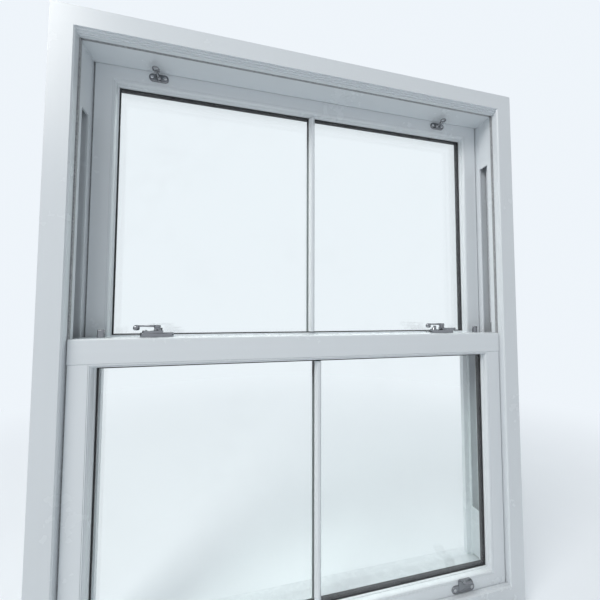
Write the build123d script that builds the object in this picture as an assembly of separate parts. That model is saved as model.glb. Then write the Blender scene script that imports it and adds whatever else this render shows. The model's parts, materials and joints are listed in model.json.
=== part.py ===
from build123d import *
from math import cos, radians, sin
import os

# Vertical sliding sash window: white plastic frame and two sashes that slide on spring balances.
# X runs to the right as seen from the room, Y to the outside, Z up.
# The origin is the middle of the frame's underside. Lengths are in millimetres.

os.makedirs("parts", exist_ok=True)

# Sashes
daylight_width = 874.0
upper_daylight = 542.0
lower_daylight = 525.0
sash_face = 34.0
bead_width = 8.0
meeting_face = 47.0
nib_depth = 7.0
sash_gap = 7.0
side_clearance = 3.0
seat_clearance = 0.5
meeting_overlap = 50.0
upper_bead_lift = 2.0
ledge_depth = 12.5
ledge_drop = 1.0
edge_radius = 2.0
bead_quirk = 1.6
bead_quirk_depth = 1.4
bead_foot_depth = 2.0
bead_crown = 0.62
bead_crown_depth = 0.34

# Sealed glass units, gaskets and bars
glass_recess = 17.5
pane_thickness = 4.0
outer_gasket = 1.5
glass_bite = 6.0
spacer_show = 10.0
spacer_height = 14.0
gasket_thickness = 1.2
gasket_show = 2.5
bar_width = 15.0
bar_height = 11.0
bar_crown = 5.0
bar_shoulder = 3.0
inner_bar_width = 9.0

# Outer frame
frame_depth = 135.0
room_margin = 11.5
outer_clearance = 3.0
jamb_width = 42.0
back_wall = 6.0
mouth_lip = 4.0
mouth_width = 24.0
mouth_setback = 4.0
channel_width = 30.0
outer_leg_depth = 13.5
outer_leg_reach = 14.0
frame_chamfer = 2.5
seat_height = 50.0
upstand_height = 8.0
upstand_gap = 0.8
sill_fall = 12.0
nose_reach = 17.5
nose_height = 14.0
nose_drop = 4.0
nose_undercut = 20.0
drip_radius = 2.5
head_height = 47.5
head_lap = 6.0
head_pocket = 12.0
head_pocket_lead = 1.0
head_step = 3.0
pile_offset = 4.0
pile_width = 5.0
pile_depth = 5.0
pile_reach = 2.4
fixing_radius = 3.25
fixing_side = 9.0
fixing_low = 250.0
fixing_high = 650.0

# Balances
tube_radius = 8.0
tube_wall = 1.0
tube_shoe_gap = 21.0
tube_top_gap = 24.0
bracket_height = 12.0
bracket_recess = 2.6
tube_plug = 5.0
rod_radius = 3.0
rod_in_tube = 30.0
shoe_height = 55.0
shoe_depth = 24.0
shoe_clearance = 0.3
rod_seat = 5.0
rod_clearance = 0.05
shoe_cam_depth = 0.75
pivot_size = 10.0
pivot_rise = 3.0
pivot_inside = 40.0
pivot_end = 16.0
pivot_clearance = 0.2
lower_travel_end = 455.0
outer_cover_height = 127.0
cover_clearance = 0.1

# Catches and keepers
catch_inset = 99.0
catch_setback = 16.0
catch_length = 63.0
catch_width = 20.0
catch_height = 9.0
catch_fillet = 2.0
cone_height = 6.0
cone_foot = 6.5
cone_top = 4.0
screw_place = 23.0
hub_radius = 6.5
hub_fillet = 1.5
pin_radius = 3.5
pin_clearance = 0.05
pin_depth = 7.0
lift_gap = 0.3
cam_thickness = 5.0
cam_inner = 29.5
cam_outer = 33.0
cam_rest_angle = -90.0
cam_half_angle = 34.0
cam_web = 7.0
cam_web_inset = 7.0
lever_length = 39.0
lever_width = 6.0
lever_thickness = 4.5
lever_fillet = 1.2
lever_level = 20.0
knob_radius = 6.2
keeper_length = 44.0
keeper_plate = 2.5
keeper_post = 3.5
keeper_post_width = 7.0
keeper_post_height = 17.0
keeper_margin = 0.5
keeper_screw_place = 16.0
keeper_fillet = 1.2

# Tilt latches
latch_width = 12.0
latch_thickness = 8.0
latch_reach = 7.0
latch_bevel = 5.6
latch_bolt = 47.0
latch_travel = 13.0
latch_clearance = 0.3
latch_cover = 2.0
latch_knob_width = 12.0
latch_knob_depth = 7.0
latch_knob_height = 16.0
upper_knob_height = 7.0
latch_knob_place = 39.0
latch_knob_fillet = 2.1
latch_case_wall = 1.5

# Lifts and pole eyes
fitting_inset = 83.0
lift_width = 62.0
lift_height = 18.0
lift_plate = 2.5
lift_drop = 5.5
lift_tongue_width = 26.0
lift_tongue_reach = 19.0
lift_tongue_rise = 29.5
lift_tongue_thickness = 3.5
lift_tongue_bend = 10.0
lift_bead_radius = 2.5
lift_screw_place = 23.0
eye_base_width = 40.0
eye_base_height = 17.0
eye_plate = 3.0
eye_plate_fillet = 1.0
eye_rise = 5.0
eye_reach = 32.0
eye_radius = 9.0
eye_hole = 5.2
eye_thickness = 5.0
eye_neck_width = 8.0
eye_screw_place = 13.5

# Screws
screw_head = 3.4
screw_head_height = 1.6
screw_crown = 0.9
screw_clearance = 0.3

# Derived levels and planes
sash_depth = (frame_depth - room_margin - sash_gap - outer_clearance - outer_leg_depth) / 2
cavity_width = sash_depth - nib_depth - outer_gasket - 2 * pane_thickness - glass_recess
mouth_offset = sash_depth - mouth_setback - mouth_width
catch_pivot = sash_depth - catch_setback
sash_border = sash_face + bead_width
sash_width = daylight_width + 2 * sash_border
half_sash = sash_width / 2
half_day = daylight_width / 2
catch_place = half_day - catch_inset
fitting_place = half_day - fitting_inset
jamb_plane = half_sash + side_clearance
half_frame = jamb_plane + jamb_width
room_face = -frame_depth / 2
outer_face = frame_depth / 2
lower_y = room_face + room_margin
upper_y = lower_y + sash_depth + sash_gap
lower_bottom = seat_height + seat_clearance
lower_day_bottom = lower_bottom + sash_border
lower_day_top = lower_day_bottom + lower_daylight
meeting_top = lower_day_top + meeting_face + bead_width
upper_bottom = meeting_top - meeting_overlap
upper_day_bottom = meeting_top + upper_bead_lift
upper_day_top = upper_day_bottom + upper_daylight
upper_top = upper_day_top + sash_border
soffit = upper_top - head_lap
pocket_top = upper_top + head_pocket
frame_top = soffit + head_height
outer_leg_y = outer_face - outer_leg_depth
channel_back = jamb_plane + jamb_width - back_wall
channel_front = jamb_plane + mouth_lip
channel_x = (channel_front + channel_back) / 2
channel_offset = mouth_offset + mouth_width / 2
tube_top = soffit - tube_top_gap
tube_bottom = upper_bottom + shoe_height + tube_shoe_gap
tube_length = tube_top - tube_bottom
jamb_foot = seat_height - sill_fall - nose_drop
lift_level = lower_bottom + upstand_height + (sash_border - upstand_height) / 2 - lift_drop
eye_level = upper_top - head_lap - (sash_border - head_lap) / 2 + eye_rise


def face_of(*edges):
    """A flat face bounded by edges drawn in the local plane."""
    return make_face(Curve() + list(edges))


def polygon(*points):
    """A closed polygon drawn in the local plane."""
    return make_face(Polyline(*points, close=True))


def block(x, y, z):
    """A box from the low and high values of each axis."""
    size = [high - low for low, high in (x, y, z)]
    middle = [(low + high) / 2 for low, high in (x, y, z)]
    return Pos(*middle) * Box(*size)


def along_x(section, half_length):
    """Extrudes a section drawn as Y to the right and Z up, from -half_length to half_length."""
    plane = Plane(origin=(-half_length, 0, 0), x_dir=(0, 1, 0), z_dir=(1, 0, 0))
    return extrude(plane * section, amount=2 * half_length)


def along_z(section, low, high):
    """Extrudes a plan section upwards between two levels."""
    return extrude(Plane(origin=(0, 0, low)) * section, amount=high - low)


def mirrored(solid):
    """The same solid on the other side of the window's middle."""
    return mirror(solid, about=Plane.YZ)


def frame_member(side, section, rect, room_plane, reach):
    """One mitred member of a rectangular frame.

    The section has its X towards the middle of the rectangle and its Y away from the room.
    rect holds the outer edges: left, right, bottom and top. reach is the width of the mitre.
    """
    left, right, bottom, top = rect
    corners = {
        "bottom": ((right, bottom), (left, bottom), (0, 0, 1), right - left),
        "left": ((left, bottom), (left, top), (1, 0, 0), top - bottom),
        "top": ((left, top), (right, top), (0, 0, -1), right - left),
        "right": ((right, top), (right, bottom), (-1, 0, 0), top - bottom),
    }
    start, end, inward, length = corners[side]
    run = ((end[0] - start[0]) / length, 0, (end[1] - start[1]) / length)
    plane = Plane(origin=(start[0], room_plane, start[1]), x_dir=inward, z_dir=run)
    bar = extrude(plane * section, amount=length)
    inner_start = (start[0] + (run[0] + inward[0]) * reach, start[1] + (run[2] + inward[2]) * reach)
    inner_end = (end[0] + (inward[0] - run[0]) * reach, end[1] + (inward[2] - run[2]) * reach)
    mitre = Plane.XZ * polygon(start, end, inner_end, inner_start)
    return bar & extrude(mitre, amount=frame_depth, both=True)


def ring(rect, inset, width, room_plane, near, far):
    """A rectangular ring, inset from rect, between two depths behind the room plane."""
    left, right, bottom, top = rect
    outer = block(
        (left + inset, right - inset),
        (room_plane + near, room_plane + far),
        (bottom + inset, top - inset),
    )
    hole = block(
        (left + inset + width, right - inset - width),
        (room_plane + near - 1, room_plane + far + 1),
        (bottom + inset + width, top - inset - width),
    )
    return outer - hole


def sash_section(face_width):
    """Sash profile: box with the glazing rebate on the room side of an outer nib."""
    rebate = sash_depth - nib_depth
    outline = polygon(
        (0, 0),
        (face_width, 0),
        (face_width, rebate),
        (face_width + bead_width, rebate),
        (face_width + bead_width, sash_depth - 2 * edge_radius),
        (face_width + bead_width - 2 * edge_radius, sash_depth),
        (0, sash_depth),
    )
    rounded = [v for v in outline.vertices() if v.X < 0.1 and v.Y < sash_depth - 1]
    return fillet(rounded, edge_radius)


def bead_section():
    """Clip-in glazing bead: an ovolo slope, a small quirk and the foot on the gasket."""
    foot = glass_recess - gasket_thickness
    start = (0, edge_radius / 2)
    crown = (bead_width * bead_crown, foot * bead_crown_depth)
    slope_end = (bead_width - bead_quirk, foot - bead_foot_depth - bead_quirk_depth)
    quirk_end = (bead_width, foot - bead_foot_depth)
    return face_of(
        Line((0, foot), start),
        ThreePointArc(start, crown, slope_end),
        Line(slope_end, quirk_end),
        Line(quirk_end, (bead_width, foot)),
        Line((bead_width, foot), (0, foot)),
    )


def jamb_channel(room_plane):
    """The balance channel of one track and its narrower mouth, cut along the jamb."""
    mouth = (room_plane + mouth_offset, room_plane + mouth_offset + mouth_width)
    middle = room_plane + channel_offset
    cavity = (middle - channel_width / 2, middle + channel_width / 2)
    heights = (-1, frame_top + 1)
    return block((jamb_plane - 1, channel_front + 1), mouth, heights) + block(
        (channel_front, channel_back), cavity, heights
    )


def pile_box(room_plane, near, far, heights):
    """A strip in the pile groove of one track, between two distances from the jamb plane."""
    edge = room_plane + pile_offset
    return block((jamb_plane + near, jamb_plane + far), (edge, edge + pile_width), heights)


# Frame
def sill():
    """Sloping sill: room upstand, seat of the lower sash, weathered slope and nose with a drip."""
    upstand = lower_y - upstand_gap
    seat_end = lower_y + sash_depth
    nose = outer_face + nose_reach
    slope_low = seat_height - sill_fall
    section = polygon(
        (room_face, 0),
        (outer_face - nose_undercut, 0),
        (outer_face - nose_undercut, nose_height),
        (nose - frame_chamfer, nose_height + nose_drop),
        (nose, nose_height + nose_drop + frame_chamfer),
        (nose, slope_low - nose_drop - frame_chamfer),
        (nose - frame_chamfer, slope_low - nose_drop),
        (seat_end, seat_height),
        (upstand, seat_height),
        (upstand, seat_height + upstand_height),
        (room_face + frame_chamfer, seat_height + upstand_height),
        (room_face, seat_height + upstand_height - frame_chamfer),
    )
    drip_y = nose - 3 * drip_radius
    drip_z = nose_height + nose_drop
    drip = Pos(drip_y, drip_z) * Circle(drip_radius)
    return along_x(section - drip, half_frame)


def head():
    """Head: stepped room edge, pile groove, soffit over the inner track, pocket and outer leg."""
    groove = lower_y + pile_offset
    pocket_start = upper_y - head_pocket_lead
    leg_bottom = upper_day_top + sash_border - outer_leg_reach
    section = polygon(
        (room_face, soffit + 3 * head_step),
        (room_face + head_step, soffit + 3 * head_step),
        (room_face + head_step, soffit + 2 * head_step),
        (room_face + 2 * head_step, soffit + 2 * head_step),
        (room_face + 2 * head_step, soffit + head_step),
        (room_face + 3 * head_step, soffit + head_step),
        (room_face + 3 * head_step, soffit),
        (groove, soffit),
        (groove, soffit + pile_depth),
        (groove + pile_width, soffit + pile_depth),
        (groove + pile_width, soffit),
        (pocket_start, soffit),
        (pocket_start, pocket_top),
        (outer_leg_y, pocket_top),
        (outer_leg_y, leg_bottom),
        (outer_face - frame_chamfer, leg_bottom),
        (outer_face, leg_bottom + frame_chamfer),
        (outer_face, frame_top),
        (room_face, frame_top),
    )
    return along_x(section, half_frame)


def jamb_right(sill_solid, head_solid):
    """Right jamb: two balance channels, pile grooves, outer leg and fixing holes."""
    plan = polygon(
        (jamb_plane + frame_chamfer, room_face),
        (half_frame, room_face),
        (half_frame, outer_face),
        (jamb_plane - outer_leg_reach + frame_chamfer, outer_face),
        (jamb_plane - outer_leg_reach, outer_face - frame_chamfer),
        (jamb_plane - outer_leg_reach, outer_leg_y),
        (jamb_plane, outer_leg_y),
        (jamb_plane, room_face + frame_chamfer),
    )
    solid = along_z(plan, jamb_foot, frame_top)
    for track in (lower_y, upper_y):
        solid -= jamb_channel(track)
        solid -= pile_box(track, -1, pile_depth, (-1, frame_top + 1))
    hole_y = lower_y + channel_offset + fixing_side
    for level in (fixing_low, fixing_high):
        hole = Cylinder(fixing_radius, 2 * back_wall, rotation=(0, 90, 0))
        solid -= Pos(half_frame - back_wall / 2, hole_y, level) * hole
    return solid - sill_solid - head_solid


def pile_strips(sill_solid, head_solid):
    """Brush strips in the grooves of the jambs and of the head."""
    strips = []
    for track in (lower_y, upper_y):
        strip = pile_box(track, -pile_reach, pile_depth, (jamb_foot, soffit))
        strip = strip - sill_solid - head_solid
        strips += [strip, mirrored(strip)]
    head_y = lower_y + pile_offset
    strips.append(
        block(
            (-jamb_plane + pile_depth, jamb_plane - pile_depth),
            (head_y, head_y + pile_width),
            (soffit, soffit + pile_depth),
        )
    )
    return strips


def channel_cover(track, low, high):
    """A flush strip that closes the mouth of one right-hand channel between two levels."""
    near = track + mouth_offset + cover_clearance
    far = track + mouth_offset + mouth_width - cover_clearance
    return block((jamb_plane, channel_front), (near, far), (low, high))


# Balances
def balance_tube(track):
    """Spring balance tube, plugged at the top where a screw holds it to the jamb."""
    outer = Cylinder(tube_radius, tube_length, align=(Align.CENTER, Align.CENTER, Align.MIN))
    bore = Cylinder(
        tube_radius - tube_wall,
        tube_length - tube_plug,
        align=(Align.CENTER, Align.CENTER, Align.MIN),
    )
    place = Pos(channel_x, track + channel_offset, tube_bottom)
    return place * (outer - bore)


def tube_bracket(track):
    """Nylon end block between the tube's plug and the channel, with the screw into the jamb."""
    middle = track + channel_offset
    half = channel_width / 2 - shoe_clearance
    body = block(
        (channel_front + bracket_recess, channel_back),
        (middle - half, middle + half),
        (tube_top, tube_top + bracket_height),
    )
    return fillet(body.edges().filter_by(Axis.Z), edge_radius)


def shoe(track, sash_bottom):
    """Pivot shoe that runs in the channel: a block with a slot for the pivot bar and a rod seat."""
    middle = track + channel_offset
    half = channel_width / 2 - shoe_clearance
    near = channel_front + shoe_clearance
    top = sash_bottom + shoe_height
    body = block((near, near + shoe_depth), (middle - half, middle + half), (sash_bottom, top))
    body = fillet(body.edges().filter_by(Axis.Z), edge_radius)
    level = sash_bottom + pivot_rise + pivot_size / 2
    slot_width = pivot_size + 2 * pivot_clearance
    slot = Box(2 * pivot_end, slot_width, slot_width)
    cam = Cylinder(pivot_size, 2 * shoe_cam_depth, rotation=(0, 90, 0))
    seat = Cylinder(rod_radius + rod_clearance, 2 * rod_seat)
    body -= Pos(near, middle, level) * slot
    body -= Pos(near, middle, level) * cam
    return body - Pos(channel_x, middle, top) * seat


def pivot_bar(track, sash_bottom):
    """Square pivot bar under the end of the sash's bottom rail, reaching into the shoe."""
    middle = track + channel_offset
    low = sash_bottom + pivot_rise
    end = channel_front + shoe_clearance + pivot_end - pivot_clearance
    return block(
        (half_sash - pivot_inside, end),
        (middle - pivot_size / 2, middle + pivot_size / 2),
        (low, low + pivot_size),
    )


def pivot_notch(track, sash_bottom):
    """The notch in the sash's underside that takes the pivot bar."""
    middle = track + channel_offset
    half = pivot_size / 2 + pivot_clearance
    return block(
        (half_sash - pivot_inside - pivot_clearance, half_sash + 1),
        (middle - half, middle + half),
        (sash_bottom - 1, sash_bottom + pivot_rise + pivot_size),
    )


def balance_rod(track, sash_bottom, top):
    """Rod of the spiral balance, seated in the shoe and running up inside the tube."""
    low = sash_bottom + shoe_height - rod_seat
    rod = Cylinder(rod_radius, top - low, align=(Align.CENTER, Align.CENTER, Align.MIN))
    return Pos(channel_x, track + channel_offset, low) * rod


# Sashes
class Sash:
    """Levels and planes of one sash, and the pieces that both sashes share."""

    def __init__(self, room_plane, bottom, day_bottom, day_top, top):
        self.room_plane = room_plane
        self.bottom = bottom
        self.top = top
        self.rect = (-half_sash, half_sash, bottom, top)
        self.day = (-half_day, half_day, day_bottom, day_top)

    def grown(self, margin):
        """The daylight rectangle with a margin all round."""
        left, right, bottom, top = self.day
        return (left - margin, right + margin, bottom - margin, top + margin)

    def beads(self):
        """Four mitred glazing beads round the daylight opening, by side."""
        rect = self.grown(bead_width)
        return {
            side: frame_member(side, bead_section(), rect, self.room_plane, bead_width)
            for side in ("left", "right", "top", "bottom")
        }

    def pane(self, near):
        """One sheet of glass with its room side at a depth behind the sash face."""
        left, right, bottom, top = self.grown(glass_bite)
        depths = (self.room_plane + near, self.room_plane + near + pane_thickness)
        return block((left, right), depths, (bottom, top))

    def spacer(self):
        """Dark spacer between the panes, with the bar that lies behind the glazing bar."""
        near = glass_recess + pane_thickness
        far = near + cavity_width
        outset = spacer_height - spacer_show
        frame = ring(self.grown(outset), 0, spacer_height, self.room_plane, near, far)
        left, right, bottom, top = self.day
        bar = block(
            (-inner_bar_width / 2, inner_bar_width / 2),
            (self.room_plane + near, self.room_plane + far),
            (bottom + spacer_show, top - spacer_show),
        )
        return frame + bar

    def gaskets(self):
        """Black gaskets: one under the beads and one on the outer nib."""
        width = bead_width + gasket_show
        rect = self.grown(bead_width)
        outer_near = glass_recess + 2 * pane_thickness + cavity_width
        inner = ring(rect, 0, width, self.room_plane, glass_recess - gasket_thickness, glass_recess)
        outer = ring(rect, 0, width, self.room_plane, outer_near, sash_depth - nib_depth)
        return [inner, outer]

    def bar(self, outside):
        """A moulded glazing bar that is stuck on one face of the glass."""
        if outside:
            base = glass_recess + 2 * pane_thickness + cavity_width
            height = sash_depth - base
            section_step = 1
        else:
            base = glass_recess
            height = bar_height
            section_step = -1
        levels = (0, bar_shoulder, height)
        low, shoulder, crown = (self.room_plane + base + section_step * d for d in levels)
        plan = polygon(
            (-bar_width / 2, low),
            (bar_width / 2, low),
            (bar_width / 2, shoulder),
            (bar_crown / 2, crown),
            (-bar_crown / 2, crown),
            (-bar_width / 2, shoulder),
        )
        left, right, bottom, top = self.day
        show = gasket_show + cover_clearance
        return along_z(plan, bottom + show, top - show)


def lower_rails_and_stiles(sash):
    """Lower sash: mitred bottom corners, and a meeting rail that lies across both stiles."""
    section = sash_section(sash_face)
    notch = pivot_notch(sash.room_plane, sash.bottom)
    both_notches = notch + mirrored(notch)
    below = block(
        (-half_sash, half_sash),
        (sash.room_plane, sash.room_plane + sash_depth),
        (sash.bottom, sash.day[3] + bead_width),
    )
    # The mitre of the full rectangle only matters at the bottom corners.
    tall = (-half_sash, half_sash, sash.bottom, sash.top + sash_border)
    pieces = {}
    for side in ("left", "right", "bottom"):
        member = frame_member(side, section, tall, sash.room_plane, sash_border)
        pieces[side] = (member & below) - both_notches
    rail = block(
        (-half_sash, half_sash),
        (sash.room_plane, sash.room_plane + sash_depth),
        (sash.day[3] + bead_width, sash.top),
    )
    front_edges = rail.edges().filter_by(Axis.X).group_by(Axis.Y)[0]
    rail = fillet(front_edges, edge_radius)
    nib = block(
        (-half_day, half_day),
        (sash.room_plane + sash_depth - nib_depth, sash.room_plane + sash_depth),
        (sash.day[3], sash.day[3] + bead_width),
    )
    for side in ("left", "right"):
        pieces[side] = pieces[side] - nib
    pieces["top"] = rail + nib
    return pieces


def upper_rails_and_stiles(sash):
    """Upper sash: mitred top corners, and a meeting rail below the glass with a fixing ledge."""
    section = sash_section(sash_face)
    above = block(
        (-half_sash, half_sash),
        (sash.room_plane, sash.room_plane + sash_depth),
        (sash.day[2] - bead_width, sash.top),
    )
    tall = (-half_sash, half_sash, sash.bottom - sash_border, sash.top)
    pieces = {}
    for side in ("left", "right", "top"):
        member = frame_member(side, section, tall, sash.room_plane, sash_border)
        pieces[side] = member & above
    rail = block(
        (-half_sash, half_sash),
        (sash.room_plane, sash.room_plane + sash_depth),
        (sash.bottom, sash.day[2] - bead_width),
    )
    nib = block(
        (-half_day, half_day),
        (sash.room_plane + sash_depth - nib_depth, sash.room_plane + sash_depth),
        (sash.day[2] - bead_width, sash.day[2]),
    )
    for side in ("left", "right"):
        pieces[side] = pieces[side] - nib
    notch = pivot_notch(sash.room_plane, sash.bottom)
    ledge = upper_ledge(sash)
    pieces["bottom"] = (rail + nib + ledge) - notch - mirrored(notch)
    return pieces


def upper_ledge(sash):
    """The flat ledge in front of the upper sash's bottom bead, where the keepers stand."""
    return block(
        (-half_day, half_day),
        (sash.room_plane, sash.room_plane + ledge_depth),
        (sash.day[2] - bead_width, meeting_top - ledge_drop),
    )


def upper_beads(sash):
    """The upper sash's beads, with the bottom one cut back behind the keepers' ledge."""
    ledge_room = block(
        (-half_day, half_day),
        (sash.room_plane - 1, sash.room_plane + ledge_depth),
        (sash.day[2] - bead_width - 1, sash.day[2] + 1),
    )
    beads = sash.beads()
    beads["bottom"] = beads["bottom"] - ledge_room
    return beads


def latch_slot(sash):
    """The slot in a sash's top edge that takes one right-hand tilt latch in its case."""
    middle = sash.room_plane + channel_offset
    half = latch_width / 2 + latch_clearance + latch_case_wall
    deep = latch_cover + latch_thickness + latch_clearance + latch_case_wall
    inner = half_sash - latch_bolt - latch_travel - latch_case_wall
    across = (middle - half, middle + half)
    return block((inner, half_sash + 1), across, (sash.top - deep, sash.top + 1))


def latch_case(sash):
    """Case of a tilt latch: a U channel with a cover plate that the knob's slot opens."""
    middle = sash.room_plane + channel_offset
    inner_half = latch_width / 2 + latch_clearance
    outer_half = inner_half + latch_case_wall
    deep = latch_cover + latch_thickness + latch_clearance
    inner = half_sash - latch_bolt - latch_travel - latch_case_wall
    body = block(
        (inner, half_sash),
        (middle - outer_half, middle + outer_half),
        (sash.top - deep - latch_case_wall, sash.top),
    )
    hollow = block(
        (inner + latch_case_wall, half_sash + 1),
        (middle - inner_half, middle + inner_half),
        (sash.top - deep, sash.top - latch_cover + latch_clearance),
    )
    knob_x = half_sash - latch_knob_place
    knob_half = latch_knob_width / 2 + latch_clearance
    knob_deep = latch_knob_depth / 2 + latch_clearance
    window = block(
        (knob_x - knob_half - latch_travel, knob_x + knob_half),
        (middle - knob_deep, middle + knob_deep),
        (sash.top - latch_cover - 1, sash.top + 1),
    )
    return body - hollow - window


def latch(sash, knob_height):
    """Sliding tilt latch: a bolt whose bevelled nose stands in the channel's mouth, and a knob."""
    middle = sash.room_plane + channel_offset
    bolt_top = sash.top - latch_cover
    bolt = block(
        (half_sash - latch_bolt, half_sash + side_clearance + latch_reach),
        (middle - latch_width / 2, middle + latch_width / 2),
        (bolt_top - latch_thickness, bolt_top),
    )
    nose = bolt.edges().filter_by(Axis.Z).sort_by(Axis.X)[-2:].sort_by(Axis.Y)[:1]
    bolt = chamfer(nose, latch_bevel)
    knob = block(
        (-latch_knob_width / 2, latch_knob_width / 2),
        (-latch_knob_depth / 2, latch_knob_depth / 2),
        (0, latch_cover + knob_height),
    )
    top_edges = knob.faces().sort_by(Axis.Z)[-1].edges()
    knob = fillet(top_edges, latch_knob_fillet)
    return bolt + Pos(half_sash - latch_knob_place, middle, bolt_top) * knob


# Fittings
def screw(x, y, z, facing):
    """A small raised-head screw whose head lies on a surface that faces the given way."""
    button = Cylinder(
        screw_head, screw_head_height, align=(Align.CENTER, Align.CENTER, Align.MIN)
    )
    button = fillet(button.faces().sort_by(Axis.Z)[-1].edges(), screw_crown)
    return Plane(origin=(x, y, z), z_dir=facing).location * button


def catch_base(side):
    """Cast base of a catch: rounded body, tapered stop at its left end and the bore of the lever."""
    plate = extrude(SlotOverall(catch_length, catch_width), amount=catch_height)
    plate = fillet(plate.faces().sort_by(Axis.Z)[-1].edges(), catch_fillet)
    stop = Cone(cone_foot, cone_top, cone_height, align=(Align.CENTER, Align.CENTER, Align.MIN))
    bore = Cylinder(pin_radius + pin_clearance, catch_height * 4)
    sink = Cylinder(screw_head + screw_clearance, 2 * screw_head_height)
    body = plate + Pos(-screw_place, 0, catch_height - 1) * stop - bore
    body -= Pos(screw_place, 0, catch_height) * sink
    return Pos(side * catch_place, lower_y + catch_pivot, meeting_top) * body


def cam_crescent():
    """Plan of the hooked cam: an arc about the pivot, with its middle towards the room."""

    def point(radius, angle):
        return (radius * cos(radians(angle)), radius * sin(radians(angle)))

    start, end = cam_rest_angle - cam_half_angle, cam_rest_angle + cam_half_angle
    inner = [point(cam_inner, angle) for angle in (start, cam_rest_angle, end)]
    outer = [point(cam_outer, angle) for angle in (end, cam_rest_angle, start)]
    return face_of(
        ThreePointArc(*inner),
        Line(inner[2], outer[0]),
        ThreePointArc(*outer),
        Line(outer[2], inner[0]),
    )


def catch_lever(side):
    """Lever of a catch: pin and hub, hooked cam below, and an arm that ends in a ball knob."""
    cam_low = catch_height + lift_gap
    hub_top = lever_level + lever_thickness
    pin = Pos(0, 0, catch_height - pin_depth) * Cylinder(
        pin_radius, pin_depth + lift_gap, align=(Align.CENTER, Align.CENTER, Align.MIN)
    )
    hub = Pos(0, 0, cam_low) * Cylinder(
        hub_radius, hub_top - cam_low, align=(Align.CENTER, Align.CENTER, Align.MIN)
    )
    hub = fillet(hub.faces().sort_by(Axis.Z)[-1].edges(), hub_fillet)
    crescent = cam_crescent()
    web_reach = (cam_inner + cam_outer) / 2
    web_angle = cam_rest_angle - cam_half_angle + cam_web_inset
    web = Rot(0, 0, web_angle) * Pos(web_reach / 2, 0) * Rectangle(web_reach, cam_web)
    cam = Pos(0, 0, cam_low) * extrude(crescent + web, amount=cam_thickness)
    arm = Pos(-lever_length / 2, 0, lever_level + lever_thickness / 2) * Box(
        lever_length, lever_width, lever_thickness
    )
    arm = fillet(arm.edges().filter_by(Axis.X), lever_fillet)
    knob = Pos(-lever_length, 0, lever_level + lever_thickness - knob_radius) * Sphere(knob_radius)
    lever = pin + hub + cam + arm + knob
    return Pos(side * catch_place, lower_y + catch_pivot, meeting_top) * lever


def keeper(side):
    """Keeper on the upper meeting rail: foot plate and the post that the cam hooks behind."""
    base = meeting_top - ledge_drop
    near = upper_y + keeper_margin
    plate = block(
        (-keeper_length / 2, keeper_length / 2),
        (near, upper_y + ledge_depth - keeper_margin),
        (base, base + keeper_plate),
    )
    plate = fillet(plate.edges().filter_by(Axis.Z), edge_radius)
    post = block(
        (-keeper_post_width / 2, keeper_post_width / 2),
        (near, near + keeper_post),
        (base, meeting_top + keeper_post_height),
    )
    post = fillet(post.faces().sort_by(Axis.Z)[-1].edges().filter_by(Axis.X), keeper_fillet)
    return Pos(side * catch_place, 0, 0) * (plate + post)


def lift(side, sash):
    """Finger lift on the lower rail: a slot plate whose tongue rises and flares into the room."""
    plate = extrude(Plane.XZ * SlotOverall(lift_width, lift_height), amount=lift_plate)
    low = -lift_height / 2
    top = lift_tongue_rise
    thick = lift_tongue_thickness
    inner_bend = lift_tongue_bend
    outer_bend = inner_bend + thick
    bend_level = top - outer_bend
    # The outer and the inner curve share the bend's centre.
    diagonal = radians(45)
    outer_mid = (outer_bend * cos(diagonal) - outer_bend, bend_level + outer_bend * sin(diagonal))
    inner_mid = (inner_bend * cos(diagonal) - outer_bend, bend_level + inner_bend * sin(diagonal))
    tip = lift_bead_radius - lift_tongue_reach
    tongue = face_of(
        Line((0, low), (0, bend_level)),
        ThreePointArc((0, bend_level), outer_mid, (-outer_bend, top)),
        Line((-outer_bend, top), (tip, top)),
        Line((tip, top), (tip, top - thick)),
        Line((tip, top - thick), (-outer_bend, top - thick)),
        ThreePointArc((-outer_bend, top - thick), inner_mid, (-thick, bend_level)),
        Line((-thick, bend_level), (-thick, low)),
        Line((-thick, low), (0, low)),
    )
    plane = Plane(origin=(-lift_tongue_width / 2, 0, 0), x_dir=(0, 1, 0), z_dir=(1, 0, 0))
    tongue = extrude(plane * tongue, amount=lift_tongue_width)
    bead = Rot(0, 90, 0) * Cylinder(lift_bead_radius, lift_tongue_width)
    tongue += Pos(0, tip, top - lift_bead_radius) * bead
    return Pos(side * fitting_place, sash.room_plane, lift_level) * (plate + tongue)


def pole_eye(side, sash):
    """Pole eye on the top rail: oval plate with a ring that stands into the room."""
    plate = extrude(Plane.XZ * SlotOverall(eye_base_width, eye_base_height), amount=eye_plate)
    plate = fillet(plate.faces().sort_by(Axis.Y)[0].edges(), eye_plate_fillet)
    centre = eye_radius - eye_reach
    ring_part = Cylinder(eye_radius, eye_thickness) - Cylinder(eye_hole, 2 * eye_thickness)
    neck_start = centre + (eye_hole + eye_radius) / 2
    neck = block(
        (-eye_neck_width / 2, eye_neck_width / 2),
        (neck_start, -eye_plate / 2),
        (-eye_thickness / 2, eye_thickness / 2),
    )
    eye = plate + Pos(0, centre, 0) * ring_part + neck
    return Pos(side * fitting_place, sash.room_plane, eye_level) * eye


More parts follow.
